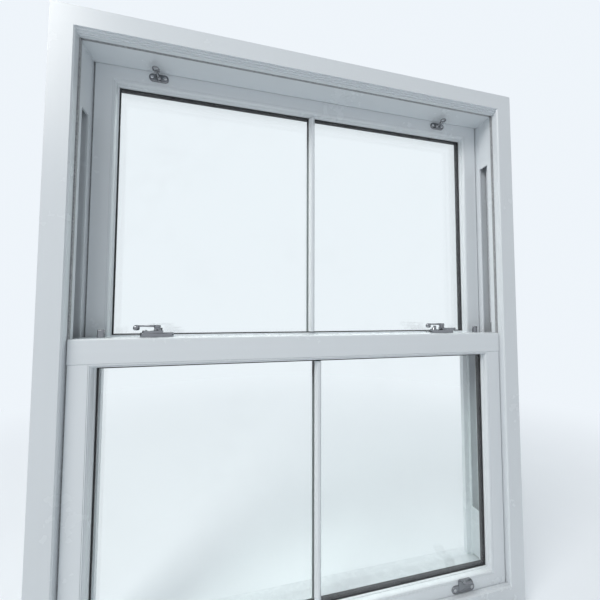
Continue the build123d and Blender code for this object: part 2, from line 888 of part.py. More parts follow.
def fitting_screws(lower, upper):
    """Screw heads of the lifts, catches, keepers, pole eyes and balance brackets."""
    lower_heads, upper_heads, frame_heads = [], [], []
    room = (0, -1, 0)
    up = (0, 0, 1)
    keeper_y = upper.room_plane + ledge_depth / 2
    keeper_z = meeting_top - ledge_drop + keeper_plate
    catch_y = lower.room_plane + catch_pivot
    catch_z = meeting_top + catch_height - screw_head_height
    for side in (-1, 1):
        for across in (-1, 1):
            x = side * fitting_place + across * lift_screw_place
            lower_heads.append(screw(x, lower.room_plane - lift_plate, lift_level, room))
            x = side * fitting_place + across * eye_screw_place
            upper_heads.append(screw(x, upper.room_plane - eye_plate, eye_level, room))
            x = side * catch_place + across * keeper_screw_place
            upper_heads.append(screw(x, keeper_y, keeper_z, up))
        lower_heads.append(screw(side * catch_place + screw_place, catch_y, catch_z, up))
        for track in (lower_y, upper_y):
            x = side * (channel_front + bracket_recess)
            level = tube_top + bracket_height / 2
            frame_heads.append(screw(x, track + channel_offset, level, (-side, 0, 0)))
    return lower_heads, upper_heads, frame_heads


def save(name, shape):
    """Writes one piece, or one group of like pieces, as parts/name.step."""
    if isinstance(shape, list):
        shape = Compound(children=shape)
    shape.label = name
    export_step(shape, f"parts/{name}.step")


def save_pair(name, solid):
    """Writes the right-hand piece and its mirror image on the left."""
    save(f"{name}_right", solid)
    save(f"{name}_left", mirrored(solid))


def build_frame():
    sill_solid = sill()
    head_solid = head()
    save("frame_sill", sill_solid)
    save("frame_head", head_solid)
    save_pair("frame_jamb", jamb_right(sill_solid, head_solid))
    save("frame_pile", pile_strips(sill_solid, head_solid))
    inner_cover = channel_cover(lower_y, meeting_top + lower_travel_end, soffit)
    outer_low = seat_height - sill_fall / 4
    outer_cover = channel_cover(upper_y, outer_low, outer_low + outer_cover_height)
    outer_cover -= sill_solid
    covers = [inner_cover, outer_cover]
    save("channel_covers", covers + [mirrored(piece) for piece in covers])
    for name, track in (("lower", lower_y), ("upper", upper_y)):
        save_pair(f"{name}_balance_tube", balance_tube(track))
    brackets = [tube_bracket(track) for track in (lower_y, upper_y)]
    save("balance_brackets", brackets + [mirrored(piece) for piece in brackets])


def build_sash(name, sash, pieces, beads):
    for side, label in (("left", "stile_left"), ("right", "stile_right")):
        save(f"{name}_{label}", pieces[side])
    save(f"{name}_beads", list(beads.values()))
    save(f"{name}_pane_inside", sash.pane(glass_recess))
    save(f"{name}_pane_outside", sash.pane(glass_recess + pane_thickness + cavity_width))
    save(f"{name}_spacer", sash.spacer())
    save(f"{name}_gaskets", sash.gaskets())
    save(f"{name}_bar_inside", sash.bar(False))
    save(f"{name}_bar_outside", sash.bar(True))
    save_pair(f"{name}_shoe", shoe(sash.room_plane, sash.bottom))
    bar = pivot_bar(sash.room_plane, sash.bottom)
    save(f"{name}_pivot_bars", [bar, mirrored(bar)])


lower_sash = Sash(lower_y, lower_bottom, lower_day_bottom, lower_day_top, meeting_top)
upper_sash = Sash(upper_y, upper_bottom, upper_day_bottom, upper_day_top, upper_top)

build_frame()

lower_pieces = lower_rails_and_stiles(lower_sash)
lower_slot = latch_slot(lower_sash)
save("lower_rail_bottom", lower_pieces["bottom"])
save("lower_rail_meeting", lower_pieces["top"] - lower_slot - mirrored(lower_slot))
build_sash("lower", lower_sash, lower_pieces, lower_sash.beads())

upper_pieces = upper_rails_and_stiles(upper_sash)
upper_slot = latch_slot(upper_sash)
both_slots = upper_slot + mirrored(upper_slot)
for member in ("left", "right", "top"):
    upper_pieces[member] = upper_pieces[member] - both_slots
save("upper_rail_top", upper_pieces["top"])
save("upper_rail_meeting", upper_pieces["bottom"])
build_sash("upper", upper_sash, upper_pieces, upper_beads(upper_sash))

rod_top = tube_top - tube_plug - rod_in_tube
lower_rod = balance_rod(lower_y, lower_bottom, tube_bottom + rod_in_tube)
upper_rod = balance_rod(upper_y, upper_bottom, rod_top)
save("lower_balance_rods", [lower_rod, mirrored(lower_rod)])
save("upper_balance_rods", [upper_rod, mirrored(upper_rod)])

for name, sash, knob in (
    ("lower", lower_sash, latch_knob_height),
    ("upper", upper_sash, upper_knob_height),
):
    save_pair(f"{name}_latch", latch(sash, knob))
    case = latch_case(sash)
    save(f"{name}_latch_cases", [case, mirrored(case)])

for label, side in (("left", -1), ("right", 1)):
    save(f"catch_base_{label}", catch_base(side))
    save(f"catch_lever_{label}", catch_lever(side))
    save(f"keeper_{label}", keeper(side))
    save(f"lift_{label}", lift(side, lower_sash))
    save(f"pole_eye_{label}", pole_eye(side, upper_sash))

lower_screws, upper_screws, frame_screws = fitting_screws(lower_sash, upper_sash)
save("lower_screws", lower_screws)
save("upper_screws", upper_screws)
save("frame_screws", frame_screws)
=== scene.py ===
import json
from math import pi, radians, tau

import bmesh
import bpy
from bpy.props import FloatProperty, FloatVectorProperty, IntProperty, PointerProperty
from bpy.types import Operator, Panel, PropertyGroup
from mathutils import Matrix, Vector


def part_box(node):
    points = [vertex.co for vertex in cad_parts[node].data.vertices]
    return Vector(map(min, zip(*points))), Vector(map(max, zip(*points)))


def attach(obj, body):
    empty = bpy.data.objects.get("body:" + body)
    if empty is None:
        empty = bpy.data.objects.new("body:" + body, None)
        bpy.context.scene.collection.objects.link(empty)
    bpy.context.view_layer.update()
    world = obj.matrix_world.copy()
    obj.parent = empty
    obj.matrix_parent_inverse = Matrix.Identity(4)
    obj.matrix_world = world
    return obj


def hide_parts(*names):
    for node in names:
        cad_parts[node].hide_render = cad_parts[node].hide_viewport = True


bl_info = {
    "name": "Sliding Sash Window",
    "version": (1, 0, 0),
    "blender": (4, 5, 0),
    "location": "View3D > Sidebar > Sash Window",
    "description": "Finishes and fittings of a white vertical sliding sash window",
    "category": "Object",
}

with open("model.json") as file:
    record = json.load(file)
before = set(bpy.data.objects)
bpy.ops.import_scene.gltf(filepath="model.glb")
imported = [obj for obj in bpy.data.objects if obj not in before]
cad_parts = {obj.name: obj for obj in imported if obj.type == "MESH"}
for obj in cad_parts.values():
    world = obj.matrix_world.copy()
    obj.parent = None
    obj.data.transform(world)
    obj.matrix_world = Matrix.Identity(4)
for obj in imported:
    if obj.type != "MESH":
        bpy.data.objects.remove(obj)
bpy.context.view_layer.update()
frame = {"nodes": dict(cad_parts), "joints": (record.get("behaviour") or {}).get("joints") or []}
MM = 0.001
SIDES = (("left", -1), ("right", 1))
RAILS = {"lower": ("rail_bottom", "rail_meeting"), "upper": ("rail_top", "rail_meeting")}

# Sizes that more than one piece uses, in metres
WELD = 0.002 * MM
PANE = 4 * MM
PANE_BITE = 6 * MM
GLAZING_SEAT = 8 * MM
LIFT_HALF_HIGH = 9 * MM
LIFT_PLATE = 2.5 * MM
KEEPER_PLATE = 2.5 * MM
EYE_PLATE = 3 * MM
CATCH_SCREW = 23 * MM
LEVER_TOP = 24.5 * MM

# The bead's section in millimetres: outwards from the opening, and depth from the stile's room face
BEAD_SECTION = (
    (8.0, 16.3), (8.0, 1.0), (7.5, 0.5), (5.9, 0.5), (5.6, 0.9), (5.4, 2.1), (4.7, 2.1), (4.5, 1.3),
    (3.8, 1.6), (3.0, 2.5), (2.4, 3.9), (2.0, 5.8), (1.8, 8.5), (1.8, 11.2), (1.5, 11.6), (0.5, 12.1),
    (0.1, 12.8), (0.1, 16.3))

# Looks
FINE_RELIEF = 0.03 * MM
PHOTO_WIDTH = 600
SENSOR_WIDTH = 36
LAMP_TARGET = (0, 0, 0.65)
GROUPS = {}
FINISHES = {}


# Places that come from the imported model
def middle_of(node):
    low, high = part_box(node)
    return (low + high) / 2


def joint_place(name):
    for joint in frame["joints"]:
        if joint["name"] == name:
            return Vector(joint["pos_m"])
    raise RuntimeError(f"no joint named {name}")


def opening_of(sash):
    """The lowest and highest corner of a sash's daylight opening."""
    low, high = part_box(f"{sash}_pane_inside")
    margin = Vector((PANE_BITE, 0, PANE_BITE))
    return low + margin, high - margin


def glass_levels(sash, sizes):
    """Y of the sealed unit's room face, of its cavity's two sides and of its outer face."""
    room, start = (corner.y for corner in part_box(f"{sash}_pane_inside"))
    end = start + sizes.cavity
    return room, start, end, end + PANE


# Sizes and colours that a user would change
def colour(name, description, value):
    """A colour, as three numbers from 0 to 1."""
    return FloatVectorProperty(
        name=name, description=description, subtype="COLOR", size=3, min=0, max=1, default=value)


def length(name, description, value, low, high):
    """A length, with its limits, given in millimetres."""
    return FloatProperty(
        name=name, description=description, unit="LENGTH", precision=4,
        default=value * MM, min=low * MM, max=high * MM)


def power(name, description, value):
    """A lamp's power in watts."""
    return FloatProperty(
        name=name, description=description, subtype="POWER", default=value, min=0, max=500)


def camera_angle(name, description, degrees):
    """An angle of the camera."""
    return FloatProperty(name=name, description=description, subtype="ANGLE", default=radians(degrees))


class WindowColours(PropertyGroup):
    """Colours of the window's surfaces."""

    # Both whites are white plastic with a cool grey-blue cast that is painted shade, standing for sky-lit
    # shade on the white frame.
    frame_white: colour("Frame white", "Colour of the outer frame", (0.70, 0.735, 0.765))
    sash_white: colour("Sash white", "Colour of the sashes, beads and bars", (0.73, 0.765, 0.795))
    grime: colour("Grime", "Colour that collects on the plastic", (0.33, 0.32, 0.29))
    spacer: colour("Spacer", "Colour of the bar between the panes", (0.013, 0.011, 0.014))
    rubber: colour("Gasket", "Colour of the gaskets", (0.012, 0.013, 0.015))
    # The chrome colour is far darker than real chrome: painted shade that stands for the dark room the
    # fittings reflect.
    chrome: colour("Chrome", "Colour of the polished fittings", (0.25, 0.255, 0.27))
    nylon: colour("Nylon", "Colour of the shoes and latch cases", (0.56, 0.58, 0.60))
    glass: colour("Glass", "Tint of the glass", (0.985, 0.997, 0.993))


class FittingSizes(PropertyGroup):
    """Sizes of the metal fittings."""

    hub_radius: length("Hub radius", "Radius of the catch lever's hub", 6.5, 3, 9)
    knob_radius: length("Knob radius", "Radius of the ball at the end of the lever", 6.2, 3, 8)
    arm_length: length("Arm length", "From the hub's middle to the ball's middle", 39, 20, 45)
    cam_inner: length("Cam inner radius", "Inner radius of the hooked cam", 29.5, 25, 31)
    cam_outer: length("Cam outer radius", "Outer radius of the hooked cam", 33, 31, 34)
    cam_arc: FloatProperty(
        name="Cam arc", description="Angle that the hooked cam covers", subtype="ANGLE",
        default=radians(68), min=radians(30), max=radians(90))
    screw_radius: length("Screw head radius", "Radius of a fitting's screw head", 3.4, 2, 5)
    rod_pitch: length("Spiral pitch", "Height of one turn of a balance's spiral", 42, 20, 90)
    ring_steps: IntProperty(
        name="Ring steps", description="Segments round a pole eye's ring", default=40, min=12, max=96)


class GlazingSizes(PropertyGroup):
    """Sizes of the sealed units and of the sashes' sloped outer edge."""

    cavity: length("Cavity", "Space between the two panes", 14, 6, 20)
    spacer_recess: length("Spacer recess", "From the edge of the opening back to the spacer's face", 3, 0, 6)
    glass_edge: length("Glass edge", "From the edge of the opening to the unit's edge", 7.2, 4, 7.8)
    outer_recess: length("Outer recess", "From the edge of the opening back to the outer lip", 5, 0, 7)
    lip: length("Outer lip", "Thickness of the lip where the outer slope starts", 0.8, 0.3, 2)
    spacer_bar: length("Middle spacer", "Width of the spacer behind the glazing bar", 9, 5, 15)


class StageSettings(PropertyGroup):
    """Floor, lamps and camera."""

    floor_white: colour("Floor", "Colour of the floor", (0.80, 0.83, 0.86))
    backdrop: colour("Backdrop", "Colour behind the window", (0.86, 0.91, 0.96))
    focal_pixels: FloatProperty(
        name="Focal length in pixels", description="For an image 600 pixels wide",
        default=273.6, min=100, max=900)
    camera_place: FloatVectorProperty(
        name="Camera place", description="Where the camera stands", subtype="TRANSLATION",
        unit="LENGTH", size=3, default=(-0.1734, -0.6372, 0.7238))
    camera_turn: camera_angle("Camera turn", "To the right of straight out", 12.454)
    camera_tilt: camera_angle("Camera tilt", "Upwards from level", 2.564)
    camera_roll: camera_angle("Camera roll", "About its own axis", 0.202)
    room_lamp: power("Room lamp", "Power of the soft lamp in the room", 66)
    sky_lamp: power("Sky lamp", "Power of the soft lamp outside", 56)
    surround: FloatProperty(
        name="Surround", description="Strength of the even light all round", default=0.47, min=0, max=2)


# Tests for faces and edges
def edge_middle(edge):
    return (edge.verts[0].co + edge.verts[1].co) / 2


def edge_run(edge):
    return (edge.verts[1].co - edge.verts[0].co).normalized()


def along(axis, share=0.9):
    """Passes the edges that run along an axis."""
    return lambda edge: abs(getattr(edge_run(edge), axis)) > share


def facing(axis, sign=1):
    """Passes the faces that look along an axis, or against it."""
    return lambda face: sign * getattr(face.normal, axis) > 0.9


def sharper(degrees):
    """Passes the edges whose two faces meet at more than an angle."""
    return lambda edge: edge.calc_face_angle(0) > radians(degrees)


def rim_at(axis, level, degrees=40, margin=0.05 * MM):
    """Passes the sharp edges at one level of an axis."""
    sharp = sharper(degrees)
    return lambda edge: abs(getattr(edge_middle(edge), axis) - level) < margin and sharp(edge)


# Modelling helpers
def alone(piece):
    """Makes one piece the only selected one, and the active one."""
    bpy.ops.object.select_all(action="DESELECT")
    piece.select_set(True)
    bpy.context.view_layer.objects.active = piece


def clear_choice():
    """Deselects everything before a primitive is added."""
    if bpy.context.object and bpy.context.object.mode != "OBJECT":
        bpy.ops.object.mode_set(mode="OBJECT")
    bpy.ops.object.select_all(action="DESELECT")


def added(name, scale=(1, 1, 1)):
    """Names and scales the primitive that was just added, and puts its place into its mesh."""
    piece = bpy.context.object
    piece.name = name
    piece.scale = scale
    bpy.ops.object.transform_apply()
    return piece


def open_edit(piece):
    alone(piece)
    bpy.ops.object.mode_set(mode="EDIT")


def close_edit():
    bpy.ops.object.mode_set(mode="OBJECT")


def pick(test, kind="FACE"):
    """Selects the faces, edges or corners of the edited piece that pass a test."""
    mesh = bpy.context.object.data
    bpy.ops.mesh.select_mode(type=kind)
    bpy.ops.mesh.select_all(action="DESELECT")
    shape = bmesh.from_edit_mesh(mesh)
    group = {"FACE": shape.faces, "EDGE": shape.edges, "VERT": shape.verts}[kind]
    chosen = [part for part in group if test(part)]
    if not chosen:
        raise RuntimeError(f"nothing to select on {bpy.context.object.name}")
    for part in chosen:
        part.select_set(True)
    shape.select_flush_mode()
    bmesh.update_edit_mesh(mesh)


def extrude(move, grow):
    """Extrudes what is selected, and scales its new end."""
    bpy.ops.mesh.extrude_region_move(TRANSFORM_OT_translate={"value": move})
    bpy.ops.transform.resize(value=grow)


def face_outwards():
    """Turns all faces of the edited piece outwards."""
    bpy.ops.mesh.select_all(action="SELECT")
    bpy.ops.mesh.normals_make_consistent(inside=False)


def round_edges(test, width, segments=3):
    """Bevels the chosen edges of the edited piece."""
    pick(test, "EDGE")
    bpy.ops.mesh.bevel(offset=width, segments=segments, affect="EDGES", clamp_overlap=True)


def eased(piece, *bevels):
    """Bevels a piece. Each bevel is a test for its edges, a width and a number of segments."""
    open_edit(piece)
    for bevel in bevels:
        round_edges(*bevel)
    close_edit()
    return piece


def millimetres(*pairs):
    """Pairs of sizes in millimetres, as pairs in metres."""
    return [(first * MM, second * MM) for first, second in pairs]


def cube(name, low, high):
    """A box from its lowest to its highest corner, in metres."""
    clear_choice()
    low, high = Vector(low), Vector(high)
    bpy.ops.mesh.primitive_cube_add(size=1, location=(low + high) / 2)
    return added(name, high - low)


def turned(name, levels, steps=32):
    """A round piece about Z: a disc that is extruded and scaled from one (radius, Z) to the next."""
    clear_choice()
    radius, height = levels[0]
    bpy.ops.mesh.primitive_circle_add(
        vertices=steps, radius=radius, fill_type="NGON", location=(0, 0, height))
    piece = added(name)
    open_edit(piece)
    bpy.ops.mesh.select_all(action="SELECT")
    for next_radius, next_height in levels[1:]:
        ratio = next_radius / radius
        extrude((0, 0, next_height - height), (ratio, ratio, 1))
        radius, height = next_radius, next_height
    face_outwards()
    close_edit()
    return piece


def ring_about(name, opening, section):
    """A mitred ring round an opening. Its section's corners are (distance outwards, Y)."""
    low, high = opening
    middle, half = (low + high) / 2, (high - low) / 2
    outwards, level = section[0]
    clear_choice()
    bpy.ops.mesh.primitive_plane_add(size=2, location=(middle.x, level, middle.z), rotation=(pi / 2, 0, 0))
    ring = added(name, (half.x + outwards, half.z + outwards, 1))
    open_edit(ring)
    bpy.ops.mesh.select_mode(type="EDGE")
    bpy.ops.mesh.select_all(action="SELECT")
    bpy.ops.mesh.delete(type="ONLY_FACE")
    bpy.ops.mesh.select_all(action="SELECT")
    for next_outwards, next_level in (*section[1:], section[0]):
        wider = (half.x + next_outwards) / (half.x + outwards)
        taller = (half.z + next_outwards) / (half.z + outwards)
        extrude((0, next_level - level, 0), (wider, 1, taller))
        outwards, level = next_outwards, next_level
    bpy.ops.mesh.select_all(action="SELECT")
    bpy.ops.mesh.remove_doubles(threshold=0.01 * MM)
    face_outwards()
    close_edit()
    return ring


def cut(piece, cutter, operation="DIFFERENCE"):
    """Applies a boolean with a cutter, which is then removed."""
    alone(piece)
    modifier = piece.modifiers.new("cut", "BOOLEAN")
    modifier.operation = operation
    modifier.solver = "EXACT"
    modifier.object = cutter
    bpy.ops.object.modifier_apply(modifier=modifier.name)
    bpy.data.objects.remove(cutter)


def finish_shape(piece, angle=35):
    """Merges doubles, turns the faces outwards and smooths the shading up to an angle."""
    open_edit(piece)
    bpy.ops.mesh.select_all(action="SELECT")
    bpy.ops.mesh.remove_doubles(threshold=WELD)
    face_outwards()
    close_edit()
    bpy.ops.object.shade_smooth_by_angle(angle=radians(angle))


def joined(name, pieces):
    """Joins several pieces into the first one."""
    bpy.ops.object.select_all(action="DESELECT")
    for piece in pieces:
        piece.select_set(True)
    bpy.context.view_layer.objects.active = pieces[0]
    if len(pieces) > 1:
        bpy.ops.object.join()
    piece = bpy.context.object
    piece.name = name
    return piece


def copy_of(piece, name):
    """A copy with its own mesh."""
    alone(piece)
    bpy.ops.object.duplicate(linked=False)
    twin = bpy.context.object
    twin.name = name
    return twin


def settle(piece, place, turn=(0, 0, 0)):
    """Moves a piece to its place and puts the place into its mesh."""
    alone(piece)
    piece.rotation_euler = turn
    piece.location = place
    bpy.ops.object.transform_apply()


def coat(piece, finish):
    """Gives a piece one finish in place of what it had."""
    piece.data.materials.clear()
    piece.data.materials.append(FINISHES[finish])


def fit(piece, body, finish, nodes=()):
    """Gives a finished piece its finish, its body and the nodes that it stands for."""
    coat(piece, finish)
    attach(piece, body)
    if nodes:
        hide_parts(*nodes)


def fit_both_sides(fitting, name, body, node, place_of):
    """Copies a chrome fitting to both sides, fits the copies and removes the original."""
    for side, sign in SIDES:
        piece = copy_of(fitting, f"{name}_{side}")
        settle(piece, place_of(side, sign))
        fit(piece, body.format(side=side), "chrome", (f"{node}_{side}",))
    bpy.data.objects.remove(fitting)


# Shader helpers
def feed(tree, node, settings):
    """Sets a node's inputs to values, or links them to sockets. Returns the node."""
    for label, value in settings.items():
        if isinstance(value, bpy.types.NodeSocket):
            tree.links.new(value, node.inputs[label])
        else:
            node.inputs[label].default_value = value
    return node


def new_node(tree, kind, settings):
    """A shader node with its inputs set or linked."""
    return feed(tree, tree.nodes.new(f"ShaderNode{kind}"), settings)


def maths(tree, operation, first, second=None, clamp=False):
    """A Math node whose inputs are sockets or numbers. Returns its output."""
    node = new_node(tree, "Math", {0: first} if second is None else {0: first, 1: second})
    node.operation = operation
    node.use_clamp = clamp
    return node.outputs[0]


def product(tree, first, second, clamp=False):
    return maths(tree, "MULTIPLY", first, second, clamp)


def distance(tree, first, second):
    """How far two values are apart, whichever is larger."""
    return maths(tree, "ABSOLUTE", maths(tree, "SUBTRACT", first, second))


def ramp(tree, value, low, high, to_low=0.0, to_high=1.0):
    """A smooth Map Range from one span to another. Returns its output."""
    node = new_node(tree, "MapRange", {
        "Value": value, "From Min": low, "From Max": high, "To Min": to_low, "To Max": to_high})
    node.interpolation_type = "SMOOTHSTEP"
    return node.outputs[0]


def noise(tree, vector, scale, detail, rough=0.5):
    """A Noise Texture on a vector. Returns its value output."""
    return new_node(tree, "TexNoise", {
        "Vector": vector, "Scale": scale, "Detail": detail, "Roughness": rough}).outputs["Fac"]


def mapped(tree, vector, scale, turn=(0, 0, 0)):
    """A vector that is turned and scaled."""
    return new_node(tree, "Mapping", {"Vector": vector, "Rotation": turn, "Scale": scale}).outputs[0]


def axes(tree, vector):
    """The X, Y and Z of a vector, as the outputs of one node."""
    return new_node(tree, "SeparateXYZ", {0: vector}).outputs


def surface_normal(tree):
    return new_node(tree, "NewGeometry", {}).outputs["Normal"]


def opaque(value):
    """A colour with full alpha, or a socket as it is."""
    return value if isinstance(value, bpy.types.NodeSocket) else (*value, 1.0)


def mixed(tree, mask, first, second):
    """A colour between two colours, by a mask. Each colour is a socket or three numbers."""
    node = tree.nodes.new("ShaderNodeMix")
    node.data_type = "RGBA"
    colour_a, colour_b, colour_result = 6, 7, 2
    feed(tree, node, {"Factor": mask, colour_a: opaque(first), colour_b: opaque(second)})
    return node.outputs[colour_result]


def mix_shaders(tree, share, first, second, output):
    """Mixes two shader nodes by a share, and gives the result to an output node."""
    both = new_node(tree, "MixShader", {0: share, 1: first.outputs[0], 2: second.outputs[0]})
    feed(tree, output, {"Surface": both.outputs[0]})


def bump(tree, shader, height, strength, depth):
    """A Bump node between a height and the shader's normal."""
    node = new_node(tree, "Bump", {"Strength": strength, "Distance": depth, "Height": height})
    feed(tree, shader, {"Normal": node.outputs[0]})


def shade(base, factor):
    return tuple(min(1.0, channel * factor) for channel in base)


def new_material(name):
    """A node material with one Principled shader. Returns it, its tree, shader and coordinates."""
    material = bpy.data.materials.new(name)
    material.use_nodes = True
    tree = material.node_tree
    tree.nodes.clear()
    output = new_node(tree, "OutputMaterial", {})
    shader = new_node(tree, "BsdfPrincipled", {})
    feed(tree, output, {"Surface": shader.outputs[0]})
    return material, tree, shader, new_node(tree, "TexCoord", {}).outputs["Object"]


def output_of(tree):
    return next(node for node in tree.nodes if node.type == "OUTPUT_MATERIAL")


# Shader groups
def new_group(name, inputs, outputs):
    """A shader node group with a vector, numbers in and numbers out. Returns its two ends too."""
    group = bpy.data.node_groups.new(name, "ShaderNodeTree")
    group.interface.new_socket(name="Vector", in_out="INPUT", socket_type="NodeSocketVector")
    for label, value in inputs.items():
        socket = group.interface.new_socket(name=label, in_out="INPUT", socket_type="NodeSocketFloat")
        socket.default_value = value
    for label in outputs:
        group.interface.new_socket(name=label, in_out="OUTPUT", socket_type="NodeSocketFloat")
    source = group.nodes.new("NodeGroupInput").outputs
    return group, source, group.nodes.new("NodeGroupOutput")


def placed_group(tree, name, vector, **values):
    """Puts a shader group into a material with its own values. Returns its outputs."""
    node = tree.nodes.new("ShaderNodeGroup")
    node.node_tree = GROUPS[name]
    return feed(tree, node, {"Vector": vector, **values}).outputs


def smudge_group():
    """Broad faint marks, such as wiped dust and finger marks."""
    group, source, result = new_group("Smudges", {"Size": 9.0, "Amount": 0.5}, ["Mask"])
    broad = noise(group, source["Vector"], source["Size"], 4, 0.55)
    fine = noise(group, source["Vector"], product(group, source["Size"], 7.0), 2, 0.6)
    both = product(group, ramp(group, broad, 0.45, 0.75), ramp(group, fine, 0.3, 0.8))
    feed(group, result, {"Mask": product(group, both, source["Amount"], True)})
    return group


def dust_group():
    """Dust that settles on faces that look up."""
    group, source, result = new_group("Settled dust", {"Amount": 0.4}, ["Mask"])
    upward = ramp(group, axes(group, surface_normal(group))["Z"], 0.55, 0.95)
    patches = ramp(group, noise(group, source["Vector"], 38.0, 4, 0.62), 0.32, 0.72)
    grains = ramp(group, noise(group, source["Vector"], 620.0, 1), 0.42, 0.66)
    body = product(group, patches, maths(group, "MULTIPLY_ADD", grains, 0.6))
    amount = product(group, upward, source["Amount"])
    feed(group, result, {"Mask": product(group, body, amount, True)})
    return group


def streak_group():
    """Fine lines along an extruded profile, and the ripple of its skin."""
    group, source, result = new_group("Extrusion lines", {"Fineness": 420.0}, ["Height", "Mask"])
    lines = noise(group, source["Vector"], source["Fineness"], 2, 0.45)
    broad = noise(group, source["Vector"], product(group, source["Fineness"], 0.14), 3)
    height = maths(group, "ADD", lines, product(group, broad, 1.5))
    feed(group, result, {"Height": height, "Mask": ramp(group, broad, 0.4, 0.7)})
    return group


def scratch_group():
    """Hairline scratches in two directions."""
    group, source, result = new_group("Hairlines", {"Fineness": 900.0}, ["Height", "Mask"])
    heights = []
    for turn in (0.5, 2.1):
        direction = mapped(group, source["Vector"], (1.0, 0.04, 1.0), (turn, turn * 0.7, turn))
        heights.append(noise(group, direction, source["Fineness"], 1))
    sharp = [ramp(group, height, 0.62, 0.74) for height in heights]
    both = maths(group, "MAXIMUM", sharp[0], sharp[1])
    feed(group, result, {"Mask": both, "Height": product(group, both, -1.0)})
    return group


# Finishes
def plastic(name, base, grime, along_axis):
    """Extruded white plastic whose fine lines run along X or Z."""
    material, tree, shader, place = new_material(name)
    scale = {"x": (0.004, 1, 1), "z": (1, 1, 0.004)}[along_axis]
    lines = placed_group(tree, "streaks", mapped(tree, place, scale), Fineness=360.0)
    marks = placed_group(tree, "smudges", place, Size=7.0, Amount=0.05)["Mask"]
    dust = placed_group(tree, "dust", place, Amount=0.10)["Mask"]
    lined = mixed(tree, lines["Mask"], base, shade(base, 0.99))
    marked = mixed(tree, marks, lined, shade(base, 0.86))
    feed(tree, shader, {
        "Base Color": mixed(tree, dust, marked, grime),
        "Roughness": maths(tree, "ADD", ramp(tree, marks, 0, 0.05, 0.27, 0.285),
                           ramp(tree, dust, 0, 0.4, 0.0, 0.22)),
        "IOR": 1.52})
    bump(tree, shader, lines["Height"], 0.015, FINE_RELIEF)
    return material


def moulded(name, base, rough, fineness, depth):
    """Moulded plastic or rubber with a fine grain."""
    material, tree, shader, place = new_material(name)
    marks = placed_group(tree, "smudges", place, Size=26.0, Amount=0.6)["Mask"]
    grain = noise(tree, place, fineness, 3, 0.6)
    marked = mixed(tree, marks, base, shade(base, 1.35))
    feed(tree, shader, {
        "Base Color": mixed(tree, ramp(tree, grain, 0.35, 0.7), shade(base, 0.86), marked),
        "Roughness": ramp(tree, grain, 0.3, 0.7, rough - 0.06, rough + 0.08)})
    bump(tree, shader, grain, 0.35, depth)
    return material


def polished(name, base, grime, rough):
    """Chrome with hairlines, finger marks and a little dirt."""
    material, tree, shader, place = new_material(name)
    lines = placed_group(tree, "hairlines", place, Fineness=1300.0)
    marks = placed_group(tree, "smudges", place, Size=70.0, Amount=0.9)["Mask"]
    dust = placed_group(tree, "dust", place, Amount=0.16)["Mask"]
    marked = mixed(tree, marks, base, shade(base, 0.82))
    feed(tree, shader, {
        "Base Color": mixed(tree, dust, marked, grime),
        "Roughness": maths(tree, "ADD", ramp(tree, marks, 0, 0.9, rough, rough + 0.16),
                           product(tree, lines["Mask"], 0.10)),
        "Metallic": 1.0})
    bump(tree, shader, lines["Height"], 0.12, FINE_RELIEF)
    return material


def zinc(name):
    """Zinc plated steel with a faint spangle."""
    material, tree, shader, place = new_material(name)
    spangle = new_node(tree, "TexVoronoi", {"Vector": place, "Scale": 520.0}).outputs["Distance"]
    marks = placed_group(tree, "smudges", place, Size=40.0, Amount=0.8)["Mask"]
    base = mixed(tree, ramp(tree, spangle, 0.1, 0.8), (0.50, 0.51, 0.53), (0.62, 0.63, 0.66))
    feed(tree, shader, {
        "Base Color": mixed(tree, marks, base, (0.40, 0.38, 0.34)),
        "Roughness": ramp(tree, marks, 0, 0.8, 0.30, 0.52),
        "Metallic": 1.0})
    bump(tree, shader, spangle, 0.10, FINE_RELIEF)
    return material


def spacer_bar(name, base, depth_middle):
    """Dark spacer with a seam line and its row of small holes along the middle, painted near-black as shade
    inside the holes.
    """
    material, tree, shader, place = new_material(name)
    split = axes(tree, place)
    looks = axes(tree, surface_normal(tree))
    upright = maths(tree, "GREATER_THAN", maths(tree, "ABSOLUTE", looks["X"]), 0.5)
    along_z = product(tree, upright, split["Z"])
    along_x = product(tree, maths(tree, "SUBTRACT", 1.0, upright), split["X"])
    run = maths(tree, "ADD", along_x, along_z)
    holes_per_metre, hole_share, hole_half = 250.0, 0.12, 0.45 * MM
    step = distance(tree, maths(tree, "FRACT", product(tree, run, holes_per_metre)), 0.5)
    across = distance(tree, split["Y"], depth_middle)
    row = maths(tree, "LESS_THAN", across, hole_half)
    holes = product(tree, row, maths(tree, "LESS_THAN", step, hole_share))
    seam = ramp(tree, across, 1.2 * MM, 1.6 * MM)
    marks = placed_group(tree, "smudges", place, Size=60.0, Amount=0.9)["Mask"]
    marked = mixed(tree, marks, base, shade(base, 2.1))
    # The hole mask paints the holes near-black: painted shade inside them.
    feed(tree, shader, {
        "Base Color": mixed(tree, holes, marked, (0.004, 0.004, 0.004)),
        "Roughness": ramp(tree, marks, 0, 0.9, 0.36, 0.6),
        "Specular IOR Level": 0.22})
    bump(tree, shader, maths(tree, "SUBTRACT", seam, holes), 0.5, 0.3 * MM)
    return material


def brush(name):
    """Grey pile whose short fibres stand side by side."""
    material, tree, shader, place = new_material(name)
    fibres = noise(tree, mapped(tree, place, (0.25, 0.25, 1.0)), 2600.0, 2)
    tufts = noise(tree, place, 260.0, 3, 0.6)
    both = maths(tree, "ADD", product(tree, fibres, 0.6), product(tree, tufts, 0.4))
    feed(tree, shader, {
        "Base Color": mixed(tree, ramp(tree, both, 0.3, 0.7), (0.16, 0.165, 0.17), (0.42, 0.43, 0.45)),
        "Roughness": ramp(tree, tufts, 0.3, 0.7, 0.8, 0.95),
        "Sheen Weight": 0.4})
    bump(tree, shader, both, 0.8, 0.8 * MM)
    return material


